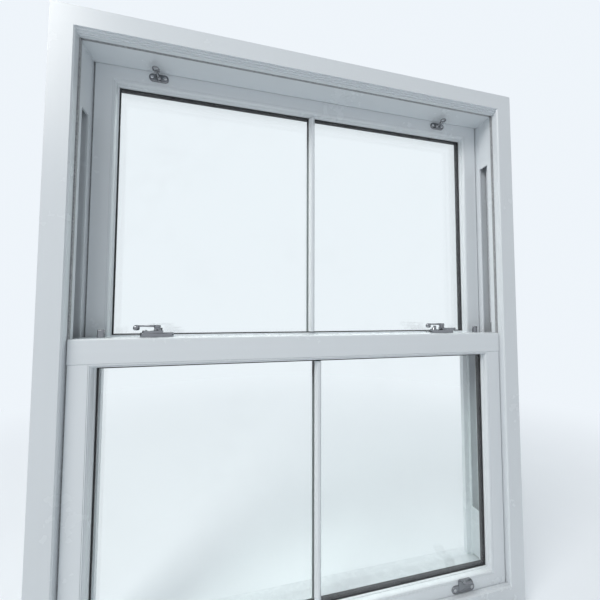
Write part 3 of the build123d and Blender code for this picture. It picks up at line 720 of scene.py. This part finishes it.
def glass(name, tint):
    """Clear float glass with faint wiping marks, which lets lamp light through."""
    material, tree, shader, place = new_material(name)
    marks = placed_group(tree, "smudges", place, Size=4.0, Amount=0.5)["Mask"]
    specks = noise(tree, place, 420.0, 1)
    dirt = maths(tree, "MAXIMUM", marks, ramp(tree, specks, 0.74, 0.80, 0.0, 0.7))
    feed(tree, shader, {
        "Base Color": mixed(tree, dirt, tint, shade(tint, 0.955)),
        "Roughness": ramp(tree, dirt, 0.1, 0.6, 0.0, 0.035),
        "Transmission Weight": 1.0,
        "IOR": 1.5})
    clear = new_node(tree, "BsdfTransparent", {"Color": (0.93, 0.96, 0.95, 1)})
    shadow = new_node(tree, "LightPath", {}).outputs["Is Shadow Ray"]
    mix_shaders(tree, shadow, shader, clear, output_of(tree))
    return material


def dress(finish, *nodes):
    """Gives CAD nodes a finish."""
    for node in nodes:
        coat(frame["nodes"][node], finish)


class SASHWINDOW_OT_finishes(Operator):
    """Builds the shader groups and every finish of the window"""

    bl_idname = "sash_window.finishes"
    bl_label = "Build finishes"

    def execute(self, context):
        GROUPS["smudges"] = smudge_group()
        GROUPS["dust"] = dust_group()
        GROUPS["streaks"] = streak_group()
        GROUPS["hairlines"] = scratch_group()
        colours = context.scene.window_colours
        grime, chrome = tuple(colours.grime), tuple(colours.chrome)
        # The frame and sash whites hold painted shade in their cool grey-blue cast.
        for part in ("frame", "sash"):
            white = tuple(getattr(colours, f"{part}_white"))
            FINISHES[f"{part}_level"] = plastic(f"{part}_plastic_level", white, grime, "x")
            FINISHES[f"{part}_upright"] = plastic(f"{part}_plastic_upright", white, grime, "z")
        # Both chrome finishes take the dark chrome colour, which holds painted shade for a dark reflected
        # room.
        FINISHES["chrome"] = polished("fitting_chrome", chrome, grime, 0.10)
        FINISHES["latch"] = polished("latch_chrome", chrome, grime, 0.16)
        FINISHES["zinc"] = zinc("zinc_steel")
        FINISHES["nylon"] = moulded("nylon", tuple(colours.nylon), 0.42, 900.0, 2 * FINE_RELIEF)
        FINISHES["tube"] = moulded("balance_tube", (0.60, 0.62, 0.65), 0.30, 300.0, FINE_RELIEF)
        FINISHES["rubber"] = moulded("gasket_rubber", tuple(colours.rubber), 0.62, 1500.0, 0.08 * MM)
        FINISHES["pile"] = brush("pile_brush")
        FINISHES["glass"] = glass("clear_glass", tuple(colours.glass))
        sizes = context.scene.glazing_sizes
        for sash in RAILS:
            middle = glass_levels(sash, sizes)[1] + sizes.cavity / 2
            FINISHES[f"{sash}_spacer"] = spacer_bar(f"{sash}_spacer_bar", tuple(colours.spacer), middle)
        return {"FINISHED"}


class SASHWINDOW_OT_frame_finish(Operator):
    """Finishes the outer frame, its covers, pile strips and balance tubes"""

    bl_idname = "sash_window.frame_finish"
    bl_label = "Finish the frame"

    def execute(self, context):
        dress("frame_level", "frame_sill", "frame_head")
        dress("frame_upright", "frame_jamb_left", "frame_jamb_right", "channel_covers")
        dress("pile", "frame_pile")
        dress("nylon", "balance_brackets")
        for side, _ in SIDES:
            dress("tube", f"lower_balance_tube_{side}", f"upper_balance_tube_{side}")
        return {"FINISHED"}


class SASHWINDOW_OT_sash_finish(Operator):
    """Finishes the inside bars, inside panes and hidden parts of both sashes"""

    bl_idname = "sash_window.sash_finish"
    bl_label = "Finish the sashes"

    def execute(self, context):
        for sash in RAILS:
            dress("sash_upright", f"{sash}_bar_inside")
            dress("glass", f"{sash}_pane_inside")
            dress("nylon", f"{sash}_shoe_left", f"{sash}_shoe_right", f"{sash}_latch_cases")
            dress("zinc", f"{sash}_pivot_bars")
        return {"FINISHED"}


# Sash profiles, beads and glazing
def flared_cutter(opening, outwards, start, end):
    """A block between two depths that flares at 45 degrees, for the sloped outer edge."""
    low, high = opening
    margin = Vector((outwards, 0, outwards))
    low, high = low - margin, high + margin
    cutter = cube("flare", (low.x, start, low.z), (high.x, end, high.z))
    open_edit(cutter)
    pick(facing("y"))
    grow = 2 * (end - start)
    bpy.ops.transform.resize(value=(1 + grow / (high.x - low.x), 1, 1 + grow / (high.z - low.z)))
    close_edit()
    return cutter


def node_copy(node, name):
    """A copy of a CAD node's mesh with its corners merged and its flat faces whole."""
    piece = bpy.data.objects.new(name, frame["nodes"][node].data.copy())
    bpy.context.scene.collection.objects.link(piece)
    alone(piece)
    bpy.ops.mesh.customdata_custom_splitnormals_clear()
    open_edit(piece)
    bpy.ops.mesh.select_all(action="SELECT")
    bpy.ops.mesh.remove_doubles(threshold=WELD)
    bpy.ops.mesh.dissolve_limited(angle_limit=radians(0.1))
    close_edit()
    return piece


class SASHWINDOW_OT_profiles(Operator):
    """Cuts the sloped outer edge on the stiles and rails, and adds its lip"""

    bl_idname = "sash_window.profiles"
    bl_label = "Shape the sash profiles"

    def execute(self, context):
        sizes = context.scene.glazing_sizes
        recess, floor, overlap = sizes.outer_recess, 8.3 * MM, 1 * MM
        for sash, rails in RAILS.items():
            opening = opening_of(sash)
            lip_start = glass_levels(sash, sizes)[3] + 1 * MM
            lip_end = lip_start + sizes.lip
            outer_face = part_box(f"{sash}_stile_left")[1].y
            for part in (*rails, "stile_left", "stile_right"):
                node = f"{sash}_{part}"
                piece = node_copy(node, f"{node}_profile")
                cut(piece, flared_cutter(opening, recess + overlap, lip_end + overlap, outer_face + overlap))
                finish_shape(piece, 30)
                finish = "sash_level" if part in rails else "sash_upright"
                fit(piece, f"{sash}_sash", finish, (node,))
            lip = ring_about(f"{sash}_outer_lip", opening, [
                (recess, lip_start), (floor, lip_start), (floor, lip_end + floor - recess),
                (recess, lip_end)])
            finish_shape(lip, 30)
            fit(lip, f"{sash}_sash", "sash_level")
        return {"FINISHED"}


class SASHWINDOW_OT_beads(Operator):
    """Models the glazing beads with their groove, ovolo and quirk"""

    bl_idname = "sash_window.beads"
    bl_label = "Model the glazing beads"

    def execute(self, context):
        for sash in RAILS:
            opening = low, high = opening_of(sash)
            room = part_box(f"{sash}_stile_left")[0].y
            beads = ring_about(f"{sash}_bead_frame", opening, [
                (outwards * MM, room + depth * MM) for outwards, depth in BEAD_SECTION])
            if sash == "upper":
                cut(beads, cube("ledge_room", (low.x, room - 1 * MM, low.z - 9 * MM),
                                (high.x, room + 12.5 * MM, low.z + 1 * MM)))
            finish_shape(beads, 24)
            fit(beads, f"{sash}_sash", "sash_upright", (f"{sash}_beads",))
        return {"FINISHED"}


def spacer_frame(sash, sizes):
    """The spacer round a sealed unit, with the one behind the glazing bar."""
    opening = low, high = opening_of(sash)
    _, start, end, _ = glass_levels(sash, sizes)
    face, step = sizes.spacer_recess, 0.8 * MM
    ring = ring_about("spacer_ring", opening, [
        (face, start + 1.5 * MM), (face, end - 1.5 * MM), (face + step, end - 0.6 * MM), (face + step, end),
        (sizes.glass_edge, end), (sizes.glass_edge, start), (face + step, start),
        (face + step, start + 0.6 * MM)])
    half = sizes.spacer_bar / 2
    middle = cube("spacer_middle", (-half, start, low.z - face), (half, end, high.z + face))
    spacer = joined(f"{sash}_spacer_frame", [ring, eased(middle, (along("z"), step, 2))])
    finish_shape(spacer, 30)
    fit(spacer, f"{sash}_sash", f"{sash}_spacer", (f"{sash}_spacer",))


def outside_pane(sash, sizes):
    """The outer sheet of a sealed unit."""
    low, high = opening_of(sash)
    _, _, end, outer = glass_levels(sash, sizes)
    edge = sizes.glass_edge
    pane = cube(f"{sash}_outer_sheet", (low.x - edge, end, low.z - edge),
                (high.x + edge, outer, high.z + edge))
    eased(pane, (sharper(0), 0.3 * MM, 1))
    fit(pane, f"{sash}_sash", "glass", (f"{sash}_pane_outside",))


def gasket_rings(sash, sizes):
    """The gasket that shows round the inside, and the tape outside."""
    opening = opening_of(sash)
    room, _, _, outer = glass_levels(sash, sizes)
    show, thick = 2.5 * MM, 1.2 * MM
    inside = ring_about("inside_gasket", opening, [
        (-show, room), (GLAZING_SEAT, room), (GLAZING_SEAT, room - thick), (0.8 * MM - show, room - thick),
        (-show, room - 0.5 * MM)])
    tape, recess = 1 * MM, sizes.outer_recess + 0.4 * MM
    outside = ring_about("outside_tape", opening, [
        (recess, outer), (GLAZING_SEAT, outer), (GLAZING_SEAT, outer + tape), (recess, outer + tape)])
    gaskets = joined(f"{sash}_gasket_rings", [inside, outside])
    finish_shape(gaskets, 30)
    fit(gaskets, f"{sash}_sash", "rubber", (f"{sash}_gaskets",))


def outside_bar(sash, sizes):
    """The outside glazing bar, which narrows outwards."""
    low, high = opening_of(sash)
    outer = glass_levels(sash, sizes)[3]
    outer_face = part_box(f"{sash}_stile_left")[1].y
    shoulder, half_wide, reach = 3 * MM, 7.5 * MM, 24 * MM
    bar = cube(f"{sash}_outside_bar", (-half_wide, outer, low.z - reach),
               (half_wide, outer + shoulder, high.z + reach))
    open_edit(bar)
    pick(facing("y"))
    extrude((0, outer_face - outer - shoulder - 0.4 * MM, 0), (1 / 3, 1, 1))
    upright = along("z")
    round_edges(lambda edge: upright(edge) and edge_middle(edge).y > outer + MM, 0.5 * MM, 2)
    close_edit()
    finish_shape(bar, 30)
    fit(bar, f"{sash}_sash", "sash_upright", (f"{sash}_bar_outside",))


class SASHWINDOW_OT_glazing(Operator):
    """Models the spacers, gaskets, outside panes and outside bars"""

    bl_idname = "sash_window.glazing"
    bl_label = "Model the glazing"

    def execute(self, context):
        for sash in RAILS:
            for model in (spacer_frame, outside_pane, gasket_rings, outside_bar):
                model(sash, context.scene.glazing_sizes)
        return {"FINISHED"}


# Fittings
def hub_and_arm(sizes):
    """The catch lever without its cam: hub, thin arm and ball knob, about the pivot."""
    rim, radius = sizes.hub_radius, sizes.knob_radius
    hub = turned("hub", [
        *millimetres((3.5, 2.0), (3.5, 9.2), (7.0, 9.3), (7.0, 14.0)),
        (rim - 0.6 * MM, 14.6 * MM), (rim - 0.6 * MM, 18.6 * MM), (rim, 19.2 * MM), (rim, 22.9 * MM),
        *millimetres((5.6, 24.0), (3.2, 24.4)), (0.6 * MM, LEVER_TOP)])
    start = 9 * MM
    waist = ((0.30, 0.72, 0.80), (0.35, 0.92, 0.95), (0.20, 1.12, 1.05), (0.15, 1.35, 1.18))
    arm = cube("arm", (-start, -3 * MM, 19.9 * MM), (-3 * MM, 3 * MM, 24.4 * MM))
    open_edit(arm)
    pick(facing("x", -1))
    for share, width, height in waist:
        extrude(((start - sizes.arm_length) * share, 0, 0), (1, width, height))
    round_edges(along("x"), 1.1 * MM, 3)
    close_edit()
    clear_choice()
    bpy.ops.mesh.primitive_uv_sphere_add(
        segments=32, ring_count=20, radius=radius, location=(-sizes.arm_length, 0, LEVER_TOP - radius))
    knob = added("knob")
    open_edit(knob)
    flattened = LEVER_TOP - 1.72 * radius
    pick(lambda corner: corner.co.z < flattened, "VERT")
    bpy.ops.transform.resize(value=(1, 1, 0.4), center_override=(0, 0, flattened))
    close_edit()
    return [hub, arm, knob]


def hooked_cam(sizes):
    """The crescent that hooks behind the keeper, spun about the pivot, and its web."""
    radius = (sizes.cam_inner + sizes.cam_outer) / 2
    start = -pi / 2 - sizes.cam_arc / 2
    low, high = 9.3 * MM, 14.3 * MM
    clear_choice()
    bpy.ops.mesh.primitive_plane_add(size=1, location=(radius, 0, (low + high) / 2), rotation=(pi / 2, 0, 0))
    cam = added("cam", (sizes.cam_outer - sizes.cam_inner, high - low, 1))
    settle(cam, (0, 0, 0), (0, 0, start))
    open_edit(cam)
    bpy.ops.mesh.select_all(action="SELECT")
    bpy.ops.mesh.spin(steps=16, angle=sizes.cam_arc, center=(0, 0, 0), axis=(0, 0, -1))
    face_outwards()
    round_edges(sharper(60), 0.6 * MM, 2)
    close_edit()
    web = cube("web", (0, -3.5 * MM, low), (radius - 1 * MM, 3.5 * MM, high - 0.8 * MM))
    settle(eased(web, (along("x"), 0.8 * MM, 2)), (0, 0, 0), (0, 0, start + radians(7)))
    return [cam, web]


class SASHWINDOW_OT_catch_levers(Operator):
    """Models the catch levers with their ball knobs and hooked cams"""

    bl_idname = "sash_window.catch_levers"
    bl_label = "Model the catch levers"

    def execute(self, context):
        sizes = context.scene.fitting_sizes
        lever = joined("catch_lever", hub_and_arm(sizes) + hooked_cam(sizes))
        finish_shape(lever)
        fit_both_sides(lever, "ball_lever", "catch_lever_{side}", "catch_lever",
                       lambda side, sign: joint_place(f"catch_lever_{side}_turn"))
        return {"FINISHED"}


class SASHWINDOW_OT_catch_bases(Operator):
    """Models the cast bases of the catches"""

    bl_idname = "sash_window.catch_bases"
    bl_label = "Model the catch bases"

    def execute(self, context):
        half_long, half_wide, top = 31.5 * MM, 10 * MM, 9 * MM
        base = cube("catch_body", (-half_long, -half_wide, 0), (half_long, half_wide, top))
        open_edit(base)
        round_edges(along("z"), 9.2 * MM, 8)
        pick(facing("z"))
        bpy.ops.mesh.inset(thickness=0.7 * MM, depth=-0.0001 * MM)
        pick(lambda face: face.normal.z > 0.9 and face.calc_area() > 0.0003)
        bpy.ops.mesh.inset(thickness=1.5 * MM, depth=0)
        round_edges(rim_at("z", top), 1.6 * MM, 4)
        close_edit()
        horn = turned("horn", millimetres(
            (6.5, 7.5), (6.0, 9.2), (4.9, 11.4), (4.3, 13.0), (3.9, 13.7), (2.9, 14.0)), 28)
        settle(horn, (-CATCH_SCREW, 0, 0))
        cut(base, horn, "UNION")
        sunk = context.scene.fitting_sizes.screw_radius + 0.3 * MM
        sink = turned("sink", [(2.4 * MM, 7.2 * MM), (sunk, 7.4 * MM), (sunk, 9.5 * MM)], 28)
        settle(sink, (CATCH_SCREW, 0, 0))
        cut(base, sink)
        cut(base, turned("bore", millimetres((3.6, -1), (3.6, 10)), 28))
        finish_shape(base, 40)
        fit_both_sides(base, "catch_foot", "lower_sash", "catch_base",
                       lambda side, sign: joint_place(f"catch_lever_{side}_turn"))
        return {"FINISHED"}


class SASHWINDOW_OT_keepers(Operator):
    """Models the keepers on the upper meeting rail"""

    bl_idname = "sash_window.keepers"
    bl_label = "Model the keepers"

    def execute(self, context):
        low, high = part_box("keeper_right")
        half = (high.x - low.x) / 2
        plate = cube("keeper_plate", (-half, 0, 0), (half, high.y - low.y, KEEPER_PLATE))
        eased(plate, (along("z"), 4.5 * MM, 6), (rim_at("z", KEEPER_PLATE), 0.7 * MM, 2))
        post = cube("post", (-7 * MM, 0, 2 * MM), (7 * MM, 3.5 * MM, 5 * MM))
        open_edit(post)
        pick(facing("z"))
        rise = high.z - low.z - 5 * MM
        for share, width in ((0.25, 0.5), (0.45, 1.0), (0.30, 1.0)):
            extrude((0, 0, rise * share), (width, 1, 1))
        round_edges(sharper(50), 0.7 * MM, 2)
        close_edit()
        keeper = joined("keeper", [plate, post])
        finish_shape(keeper)
        fit_both_sides(keeper, "keeper_post", "upper_sash", "keeper",
                       lambda side, sign: (sign * (low.x + high.x) / 2, low.y, low.z))
        return {"FINISHED"}


class SASHWINDOW_OT_lifts(Operator):
    """Models the finger lifts on the lower rail"""

    bl_idname = "sash_window.lifts"
    bl_label = "Model the finger lifts"

    def execute(self, context):
        low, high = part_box("lift_right")
        half_wide, half_high = (high.x - low.x) / 2, LIFT_HALF_HIGH
        reach, top = high.y - low.y, high.z - low.z - half_high
        plate = cube("lift_plate", (-half_wide, -LIFT_PLATE, -half_high), (half_wide, 0, half_high))
        eased(plate, (along("y"), half_high - 0.1 * MM, 10), (rim_at("y", -LIFT_PLATE), 1.1 * MM, 3))
        bend, thick, roll_radius = 10 * MM, 3.5 * MM, 2.5 * MM
        turn_level = top - bend - thick
        tongue = cube("tongue", (-13 * MM, -thick, 1 * MM - half_high), (13 * MM, 0, turn_level))
        open_edit(tongue)
        pick(facing("z"))
        bpy.ops.mesh.spin(
            steps=9, angle=pi / 2, center=(0, -bend - thick, turn_level), axis=(-1, 0, 0))
        extrude((0, bend + thick + roll_radius - reach, 0), (0.94, 1, 1))
        face_outwards()
        round_edges(sharper(50), 0.9 * MM, 3)
        close_edit()
        roll = turned("roll", millimetres(
            (1.2, -12.6), (2.1, -12.3), (2.5, -11.6), (2.5, 11.6), (2.1, 12.3), (1.2, 12.6)), 20)
        settle(roll, (0, roll_radius - reach, top - roll_radius), (0, pi / 2, 0))
        lift = joined("lift", [plate, tongue, roll])
        finish_shape(lift, 40)
        fit_both_sides(lift, "tongue_lift", "lower_sash", "lift",
                       lambda side, sign: (sign * (low.x + high.x) / 2, high.y, low.z + half_high))
        return {"FINISHED"}


class SASHWINDOW_OT_pole_eyes(Operator):
    """Models the pole eyes on the top rail"""

    bl_idname = "sash_window.pole_eyes"
    bl_label = "Model the pole eyes"

    def execute(self, context):
        low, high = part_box("pole_eye_right")
        middle, deep = (low + high) / 2, high.y - low.y
        half_wide, half_high = (high.x - low.x) / 2, (high.z - low.z) / 2
        plate = cube("eye_plate", (-half_wide, -EYE_PLATE, -half_high), (half_wide, 0, half_high))
        eased(plate, (along("y"), 8.0 * MM, 8), (rim_at("y", -EYE_PLATE), 1.2 * MM, 3))
        clear_choice()
        bpy.ops.mesh.primitive_torus_add(
            major_radius=5.8 * MM, minor_radius=1.7 * MM, minor_segments=16,
            major_segments=context.scene.fitting_sizes.ring_steps, location=(0, 7.5 * MM - deep, 0))
        ring = added("ring", (1, 1, 1.25))
        neck = turned("neck", [
            *millimetres((5.8, 0), (5.8, 1.2), (5.2, 2.2), (4.0, 3.4), (3.1, 6.0), (2.6, 12.0)),
            (2.4 * MM, deep - 12.9 * MM)], 24)
        settle(neck, (0, -2.4 * MM, 0), (pi / 2, 0, 0))
        eye = joined("eye", [plate, ring, neck])
        finish_shape(eye, 40)
        fit_both_sides(eye, "eye_ring", "upper_sash", "pole_eye",
                       lambda side, sign: (sign * middle.x, high.y, middle.z))
        return {"FINISHED"}


class SASHWINDOW_OT_tilt_latches(Operator):
    """Models the sliding tilt latches with their finger knobs"""

    bl_idname = "sash_window.tilt_latches"
    bl_label = "Model the tilt latches"

    def execute(self, context):
        for sash in RAILS:
            low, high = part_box(f"{sash}_latch_right")
            case_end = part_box(f"{sash}_latch_cases")[1]
            top = case_end.z - 2 * MM
            middle_y = (low.y + high.y) / 2
            play, nose_slope, knob_back = 0.3 * MM, 5.6 * MM, 39 * MM
            bolt = cube("bolt", (low.x + play, low.y, low.z), (high.x, high.y, top))
            open_edit(bolt)
            pick(lambda corner: corner.co.x > high.x - 1 * MM and corner.co.y < middle_y, "VERT")
            bpy.ops.transform.translate(value=(-nose_slope, 0, 0))
            round_edges(sharper(30), 0.5 * MM, 2)
            close_edit()
            knob_x, rise = case_end.x - knob_back, high.z - top
            knob = cube("knob", (knob_x - 6 * MM, middle_y - 3.5 * MM, top - 0.5 * MM),
                        (knob_x + 6 * MM, middle_y + 3.5 * MM, top + rise * 0.3))
            open_edit(knob)
            pick(facing("z"))
            for share, width in ((0.35, 0.86), (0.20, 1.05), (0.15, 1.08)):
                extrude((0, 0, rise * share), (1, width, 1))
            round_edges(along("z", 0.7), 2.0 * MM, 4)
            round_edges(rim_at("z", high.z, 50, 0.4 * MM), min(2.2 * MM, rise * 0.25), 4)
            close_edit()
            latch = joined("latch", [bolt, knob])
            finish_shape(latch, 40)
            for side, sign in SIDES:
                node = f"{sash}_latch_{side}"
                piece = copy_of(latch, f"{sash}_tilt_latch_{side}")
                if sign < 0:
                    piece.scale = (-1, 1, 1)
                    bpy.ops.object.transform_apply()
                    finish_shape(piece, 40)
                fit(piece, node, "latch", (node,))
            bpy.data.objects.remove(latch)
        return {"FINISHED"}


def screw_head(radius):
    """One raised screw head with a cross recess, standing on the origin."""
    head = turned("screw", [
        (radius, 0), (radius, 0.5 * MM), (radius * 0.90, 0.95 * MM), (radius * 0.68, 1.32 * MM),
        (radius * 0.36, 1.54 * MM), (radius * 0.08, 1.6 * MM)], 24)
    long, thin, floor, over = radius * 0.58, radius * 0.13, 0.55 * MM, 2 * MM
    recess = cube("recess", (-long, -thin, floor), (long, thin, over))
    cut(recess, cube("across", (-thin, -long, floor), (thin, long, over)), "UNION")
    cut(head, recess)
    finish_shape(head, 30)
    return head


def screw_places():
    """Place, turn and twist of every screw, by the body that carries it."""
    room, up = (pi / 2, 0, 0), (0, 0, 0)
    lift_screw, eye_screw, keeper_screw = 23 * MM, 13.5 * MM, 16 * MM
    catch_seat, above_tube = 7.4 * MM, 6 * MM
    lower, upper, outer_frame = [], [], []
    for side, sign in SIDES:
        lift, eye, keeper = (middle_of(f"{node}_{side}") for node in ("lift", "pole_eye", "keeper"))
        lift_low, lift_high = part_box(f"lift_{side}")
        lift_face, lift_level = lift_high.y - LIFT_PLATE, lift_low.z + LIFT_HALF_HIGH
        eye_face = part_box(f"pole_eye_{side}")[1].y - EYE_PLATE
        keeper_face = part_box(f"keeper_{side}")[0].z + KEEPER_PLATE
        for across in (-1, 1):
            lower.append(((lift.x + across * lift_screw, lift_face, lift_level), room, 0.5 + across))
            upper.append(((eye.x + across * eye_screw, eye_face, eye.z), room, 1.1 * across))
            upper.append(((keeper.x + across * keeper_screw, keeper.y, keeper_face), up, 0.3 + across))
        pivot = joint_place(f"catch_lever_{side}_turn")
        lower.append(((pivot.x + CATCH_SCREW, pivot.y, pivot.z + catch_seat), up, 0.7))
        for sash in RAILS:
            tube = f"{sash}_balance_tube_{side}"
            where = (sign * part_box("frame_screws")[1].x, middle_of(tube).y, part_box(tube)[1].z + above_tube)
            outer_frame.append((where, (0, -sign * pi / 2, 0), 0.4))
    return {"lower": lower, "upper": upper, "frame": outer_frame}


class SASHWINDOW_OT_screws(Operator):
    """Models the cross-head screws of the fittings"""

    bl_idname = "sash_window.screws"
    bl_label = "Model the screws"

    def execute(self, context):
        head = screw_head(context.scene.fitting_sizes.screw_radius)
        bodies = {"lower": "lower_sash", "upper": "upper_sash", "frame": "frame"}
        for group, places in screw_places().items():
            copies = []
            for where, turn, twist in places:
                piece = copy_of(head, "screw_copy")
                settle(piece, (0, 0, 0), (0, 0, twist))
                settle(piece, where, turn)
                copies.append(piece)
            screws = joined(f"{group}_cross_screws", copies)
            fit(screws, bodies[group], "zinc", (f"{group}_screws",))
        bpy.data.objects.remove(head)
        return {"FINISHED"}


class SASHWINDOW_OT_spirals(Operator):
    """Models the twisted strips of the spiral balances"""

    bl_idname = "sash_window.spirals"
    bl_label = "Model the balance spirals"

    def execute(self, context):
        pitch = context.scene.fitting_sizes.rod_pitch
        half_wide, half_thick = 2.9 * MM, 0.8 * MM
        for sash in RAILS:
            low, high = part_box(f"{sash}_balance_rods")
            height = high.z - low.z
            strips = []
            for _, sign in SIDES:
                strip = cube("strip", (-half_wide, -half_thick, 0), (half_wide, half_thick, height))
                open_edit(strip)
                pick(along("z"), "EDGE")
                bpy.ops.mesh.subdivide(number_cuts=round(height / pitch * 16))
                close_edit()
                twist = strip.modifiers.new("twist", "SIMPLE_DEFORM")
                twist.deform_method = "TWIST"
                twist.deform_axis = "Z"
                twist.angle = sign * tau * height / pitch
                bpy.ops.object.modifier_apply(modifier=twist.name)
                settle(strip, (sign * (high.x - 3 * MM), (low.y + high.y) / 2, low.z))
                strips.append(strip)
            piece = joined(f"{sash}_spiral_strips", strips)
            finish_shape(piece, 50)
            fit(piece, f"{sash}_sash", "zinc", (f"{sash}_balance_rods",))
        return {"FINISHED"}


# Stage
def seen_rays(tree):
    """1 for camera, mirror and glass rays."""
    path = new_node(tree, "LightPath", {}).outputs
    first = maths(tree, "ADD", path["Is Camera Ray"], path["Is Glossy Ray"])
    return maths(tree, "ADD", first, path["Is Transmission Ray"], True)


def even_light(strength, backdrop):
    """World: an even light all round, and the backdrop's colour where it is seen."""
    world = bpy.data.worlds.new("studio")
    bpy.context.scene.world = world
    world.use_nodes = True
    tree = world.node_tree
    tree.nodes.clear()
    output = new_node(tree, "OutputWorld", {})
    light = new_node(tree, "Background", {"Color": (0.93, 0.97, 1.0, 1), "Strength": strength})
    view = new_node(tree, "Background", {"Color": opaque(backdrop), "Strength": 1.0})
    mix_shaders(tree, seen_rays(tree), light, view, output)


def floor_material(base, backdrop):
    """Pale floor that fades into the backdrop's colour away from the window."""
    material, tree, shader, place = new_material("studio_floor")
    grain = noise(tree, place, 3.0, 3)
    grained = mixed(tree, ramp(tree, grain, 0.3, 0.7), base, shade(base, 0.985))
    feed(tree, shader, {"Base Color": grained, "Roughness": 0.75})
    away = new_node(tree, "VectorMath", {0: place})
    away.operation = "LENGTH"
    far = ramp(tree, away.outputs["Value"], 0.7, 2.6)
    glow = new_node(tree, "Emission", {"Color": opaque(backdrop)})
    mix_shaders(tree, product(tree, far, seen_rays(tree)), shader, glow, output_of(tree))
    return material


def soft_lamp(name, place, size, watts, tone):
    """A square soft lamp that looks at the window."""
    data = bpy.data.lights.new(name, "AREA")
    data.shape = "SQUARE"
    data.size = size
    data.energy = watts
    data.color = tone
    lamp = bpy.data.objects.new(name, data)
    bpy.context.scene.collection.objects.link(lamp)
    lamp.location = place
    lamp.rotation_euler = (Vector(LAMP_TARGET) - Vector(place)).to_track_quat("-Z", "Y").to_euler()
    lamp.visible_camera = False
    lamp.visible_transmission = False


def photo_camera(settings):
    """The camera at the photograph's place and angle."""
    data = bpy.data.cameras.new("photo_view")
    data.sensor_fit = "HORIZONTAL"
    data.sensor_width = SENSOR_WIDTH
    data.lens = SENSOR_WIDTH * settings.focal_pixels / PHOTO_WIDTH
    data.clip_start = 0.05
    data.clip_end = 60
    camera = bpy.data.objects.new("photo_view", data)
    bpy.context.scene.collection.objects.link(camera)
    turn = Matrix.Rotation(-settings.camera_turn, 4, "Z")
    tilt = Matrix.Rotation(pi / 2 + settings.camera_tilt, 4, "X")
    roll = Matrix.Rotation(settings.camera_roll, 4, "Z")
    camera.matrix_world = Matrix.Translation(settings.camera_place) @ turn @ tilt @ roll
    return camera


class SASHWINDOW_OT_stage(Operator):
    """Sets the floor, the soft light and the camera"""

    bl_idname = "sash_window.stage"
    bl_label = "Set the stage"

    def execute(self, context):
        scene = context.scene
        settings = scene.window_stage
        clear_choice()
        bpy.ops.mesh.primitive_circle_add(vertices=96, radius=9, fill_type="NGON", location=(0, 0, -0.5 * MM))
        floor = added("studio_floor")
        floor.data.materials.append(floor_material(tuple(settings.floor_white), tuple(settings.backdrop)))
        even_light(settings.surround, settings.backdrop)
        soft_lamp("room_lamp", (-2.2, -1.5, 3.0), 1.4, settings.room_lamp, (1.0, 0.99, 0.97))
        soft_lamp("sky_lamp", (0.9, 1.9, 3.4), 2.0, settings.sky_lamp, (0.95, 0.98, 1.0))
        scene.camera = photo_camera(settings)
        scene.view_settings.view_transform = "Standard"
        return {"FINISHED"}


class SASHWINDOW_PT_panel(Panel):
    """Lists the steps and the sizes"""

    bl_idname = "SASHWINDOW_PT_panel"
    bl_label = "Sash Window"
    bl_space_type = "VIEW_3D"
    bl_region_type = "UI"
    bl_category = "Sash Window"

    def draw(self, context):
        layout = self.layout
        for step in STEPS:
            layout.operator(step.bl_idname)
        scene = context.scene
        for group in (scene.window_colours, scene.fitting_sizes, scene.glazing_sizes, scene.window_stage):
            box = layout.box()
            for name in group.bl_rna.properties.keys():
                if name not in ("rna_type", "name"):
                    box.prop(group, name)


STEPS = (
    SASHWINDOW_OT_finishes,
    SASHWINDOW_OT_frame_finish,
    SASHWINDOW_OT_sash_finish,
    SASHWINDOW_OT_profiles,
    SASHWINDOW_OT_beads,
    SASHWINDOW_OT_glazing,
    SASHWINDOW_OT_catch_levers,
    SASHWINDOW_OT_catch_bases,
    SASHWINDOW_OT_keepers,
    SASHWINDOW_OT_lifts,
    SASHWINDOW_OT_pole_eyes,
    SASHWINDOW_OT_tilt_latches,
    SASHWINDOW_OT_screws,
    SASHWINDOW_OT_spirals,
    SASHWINDOW_OT_stage,
)
CLASSES = (WindowColours, FittingSizes, GlazingSizes, StageSettings, *STEPS, SASHWINDOW_PT_panel)


def register():
    for item in CLASSES:
        bpy.utils.register_class(item)
    bpy.types.Scene.window_colours = PointerProperty(type=WindowColours)
    bpy.types.Scene.fitting_sizes = PointerProperty(type=FittingSizes)
    bpy.types.Scene.glazing_sizes = PointerProperty(type=GlazingSizes)
    bpy.types.Scene.window_stage = PointerProperty(type=StageSettings)


def unregister():
    del bpy.types.Scene.window_stage
    del bpy.types.Scene.glazing_sizes
    del bpy.types.Scene.fitting_sizes
    del bpy.types.Scene.window_colours
    for item in reversed(CLASSES):
        bpy.utils.unregister_class(item)


def main():
    register()
    bpy.ops.sash_window.finishes()
    bpy.ops.sash_window.frame_finish()
    bpy.ops.sash_window.sash_finish()
    bpy.ops.sash_window.profiles()
    bpy.ops.sash_window.beads()
    bpy.ops.sash_window.glazing()
    bpy.ops.sash_window.catch_levers()
    bpy.ops.sash_window.catch_bases()
    bpy.ops.sash_window.keepers()
    bpy.ops.sash_window.lifts()
    bpy.ops.sash_window.pole_eyes()
    bpy.ops.sash_window.tilt_latches()
    bpy.ops.sash_window.screws()
    bpy.ops.sash_window.spirals()
    bpy.ops.sash_window.stage()


if __name__ == "__main__":
    main()
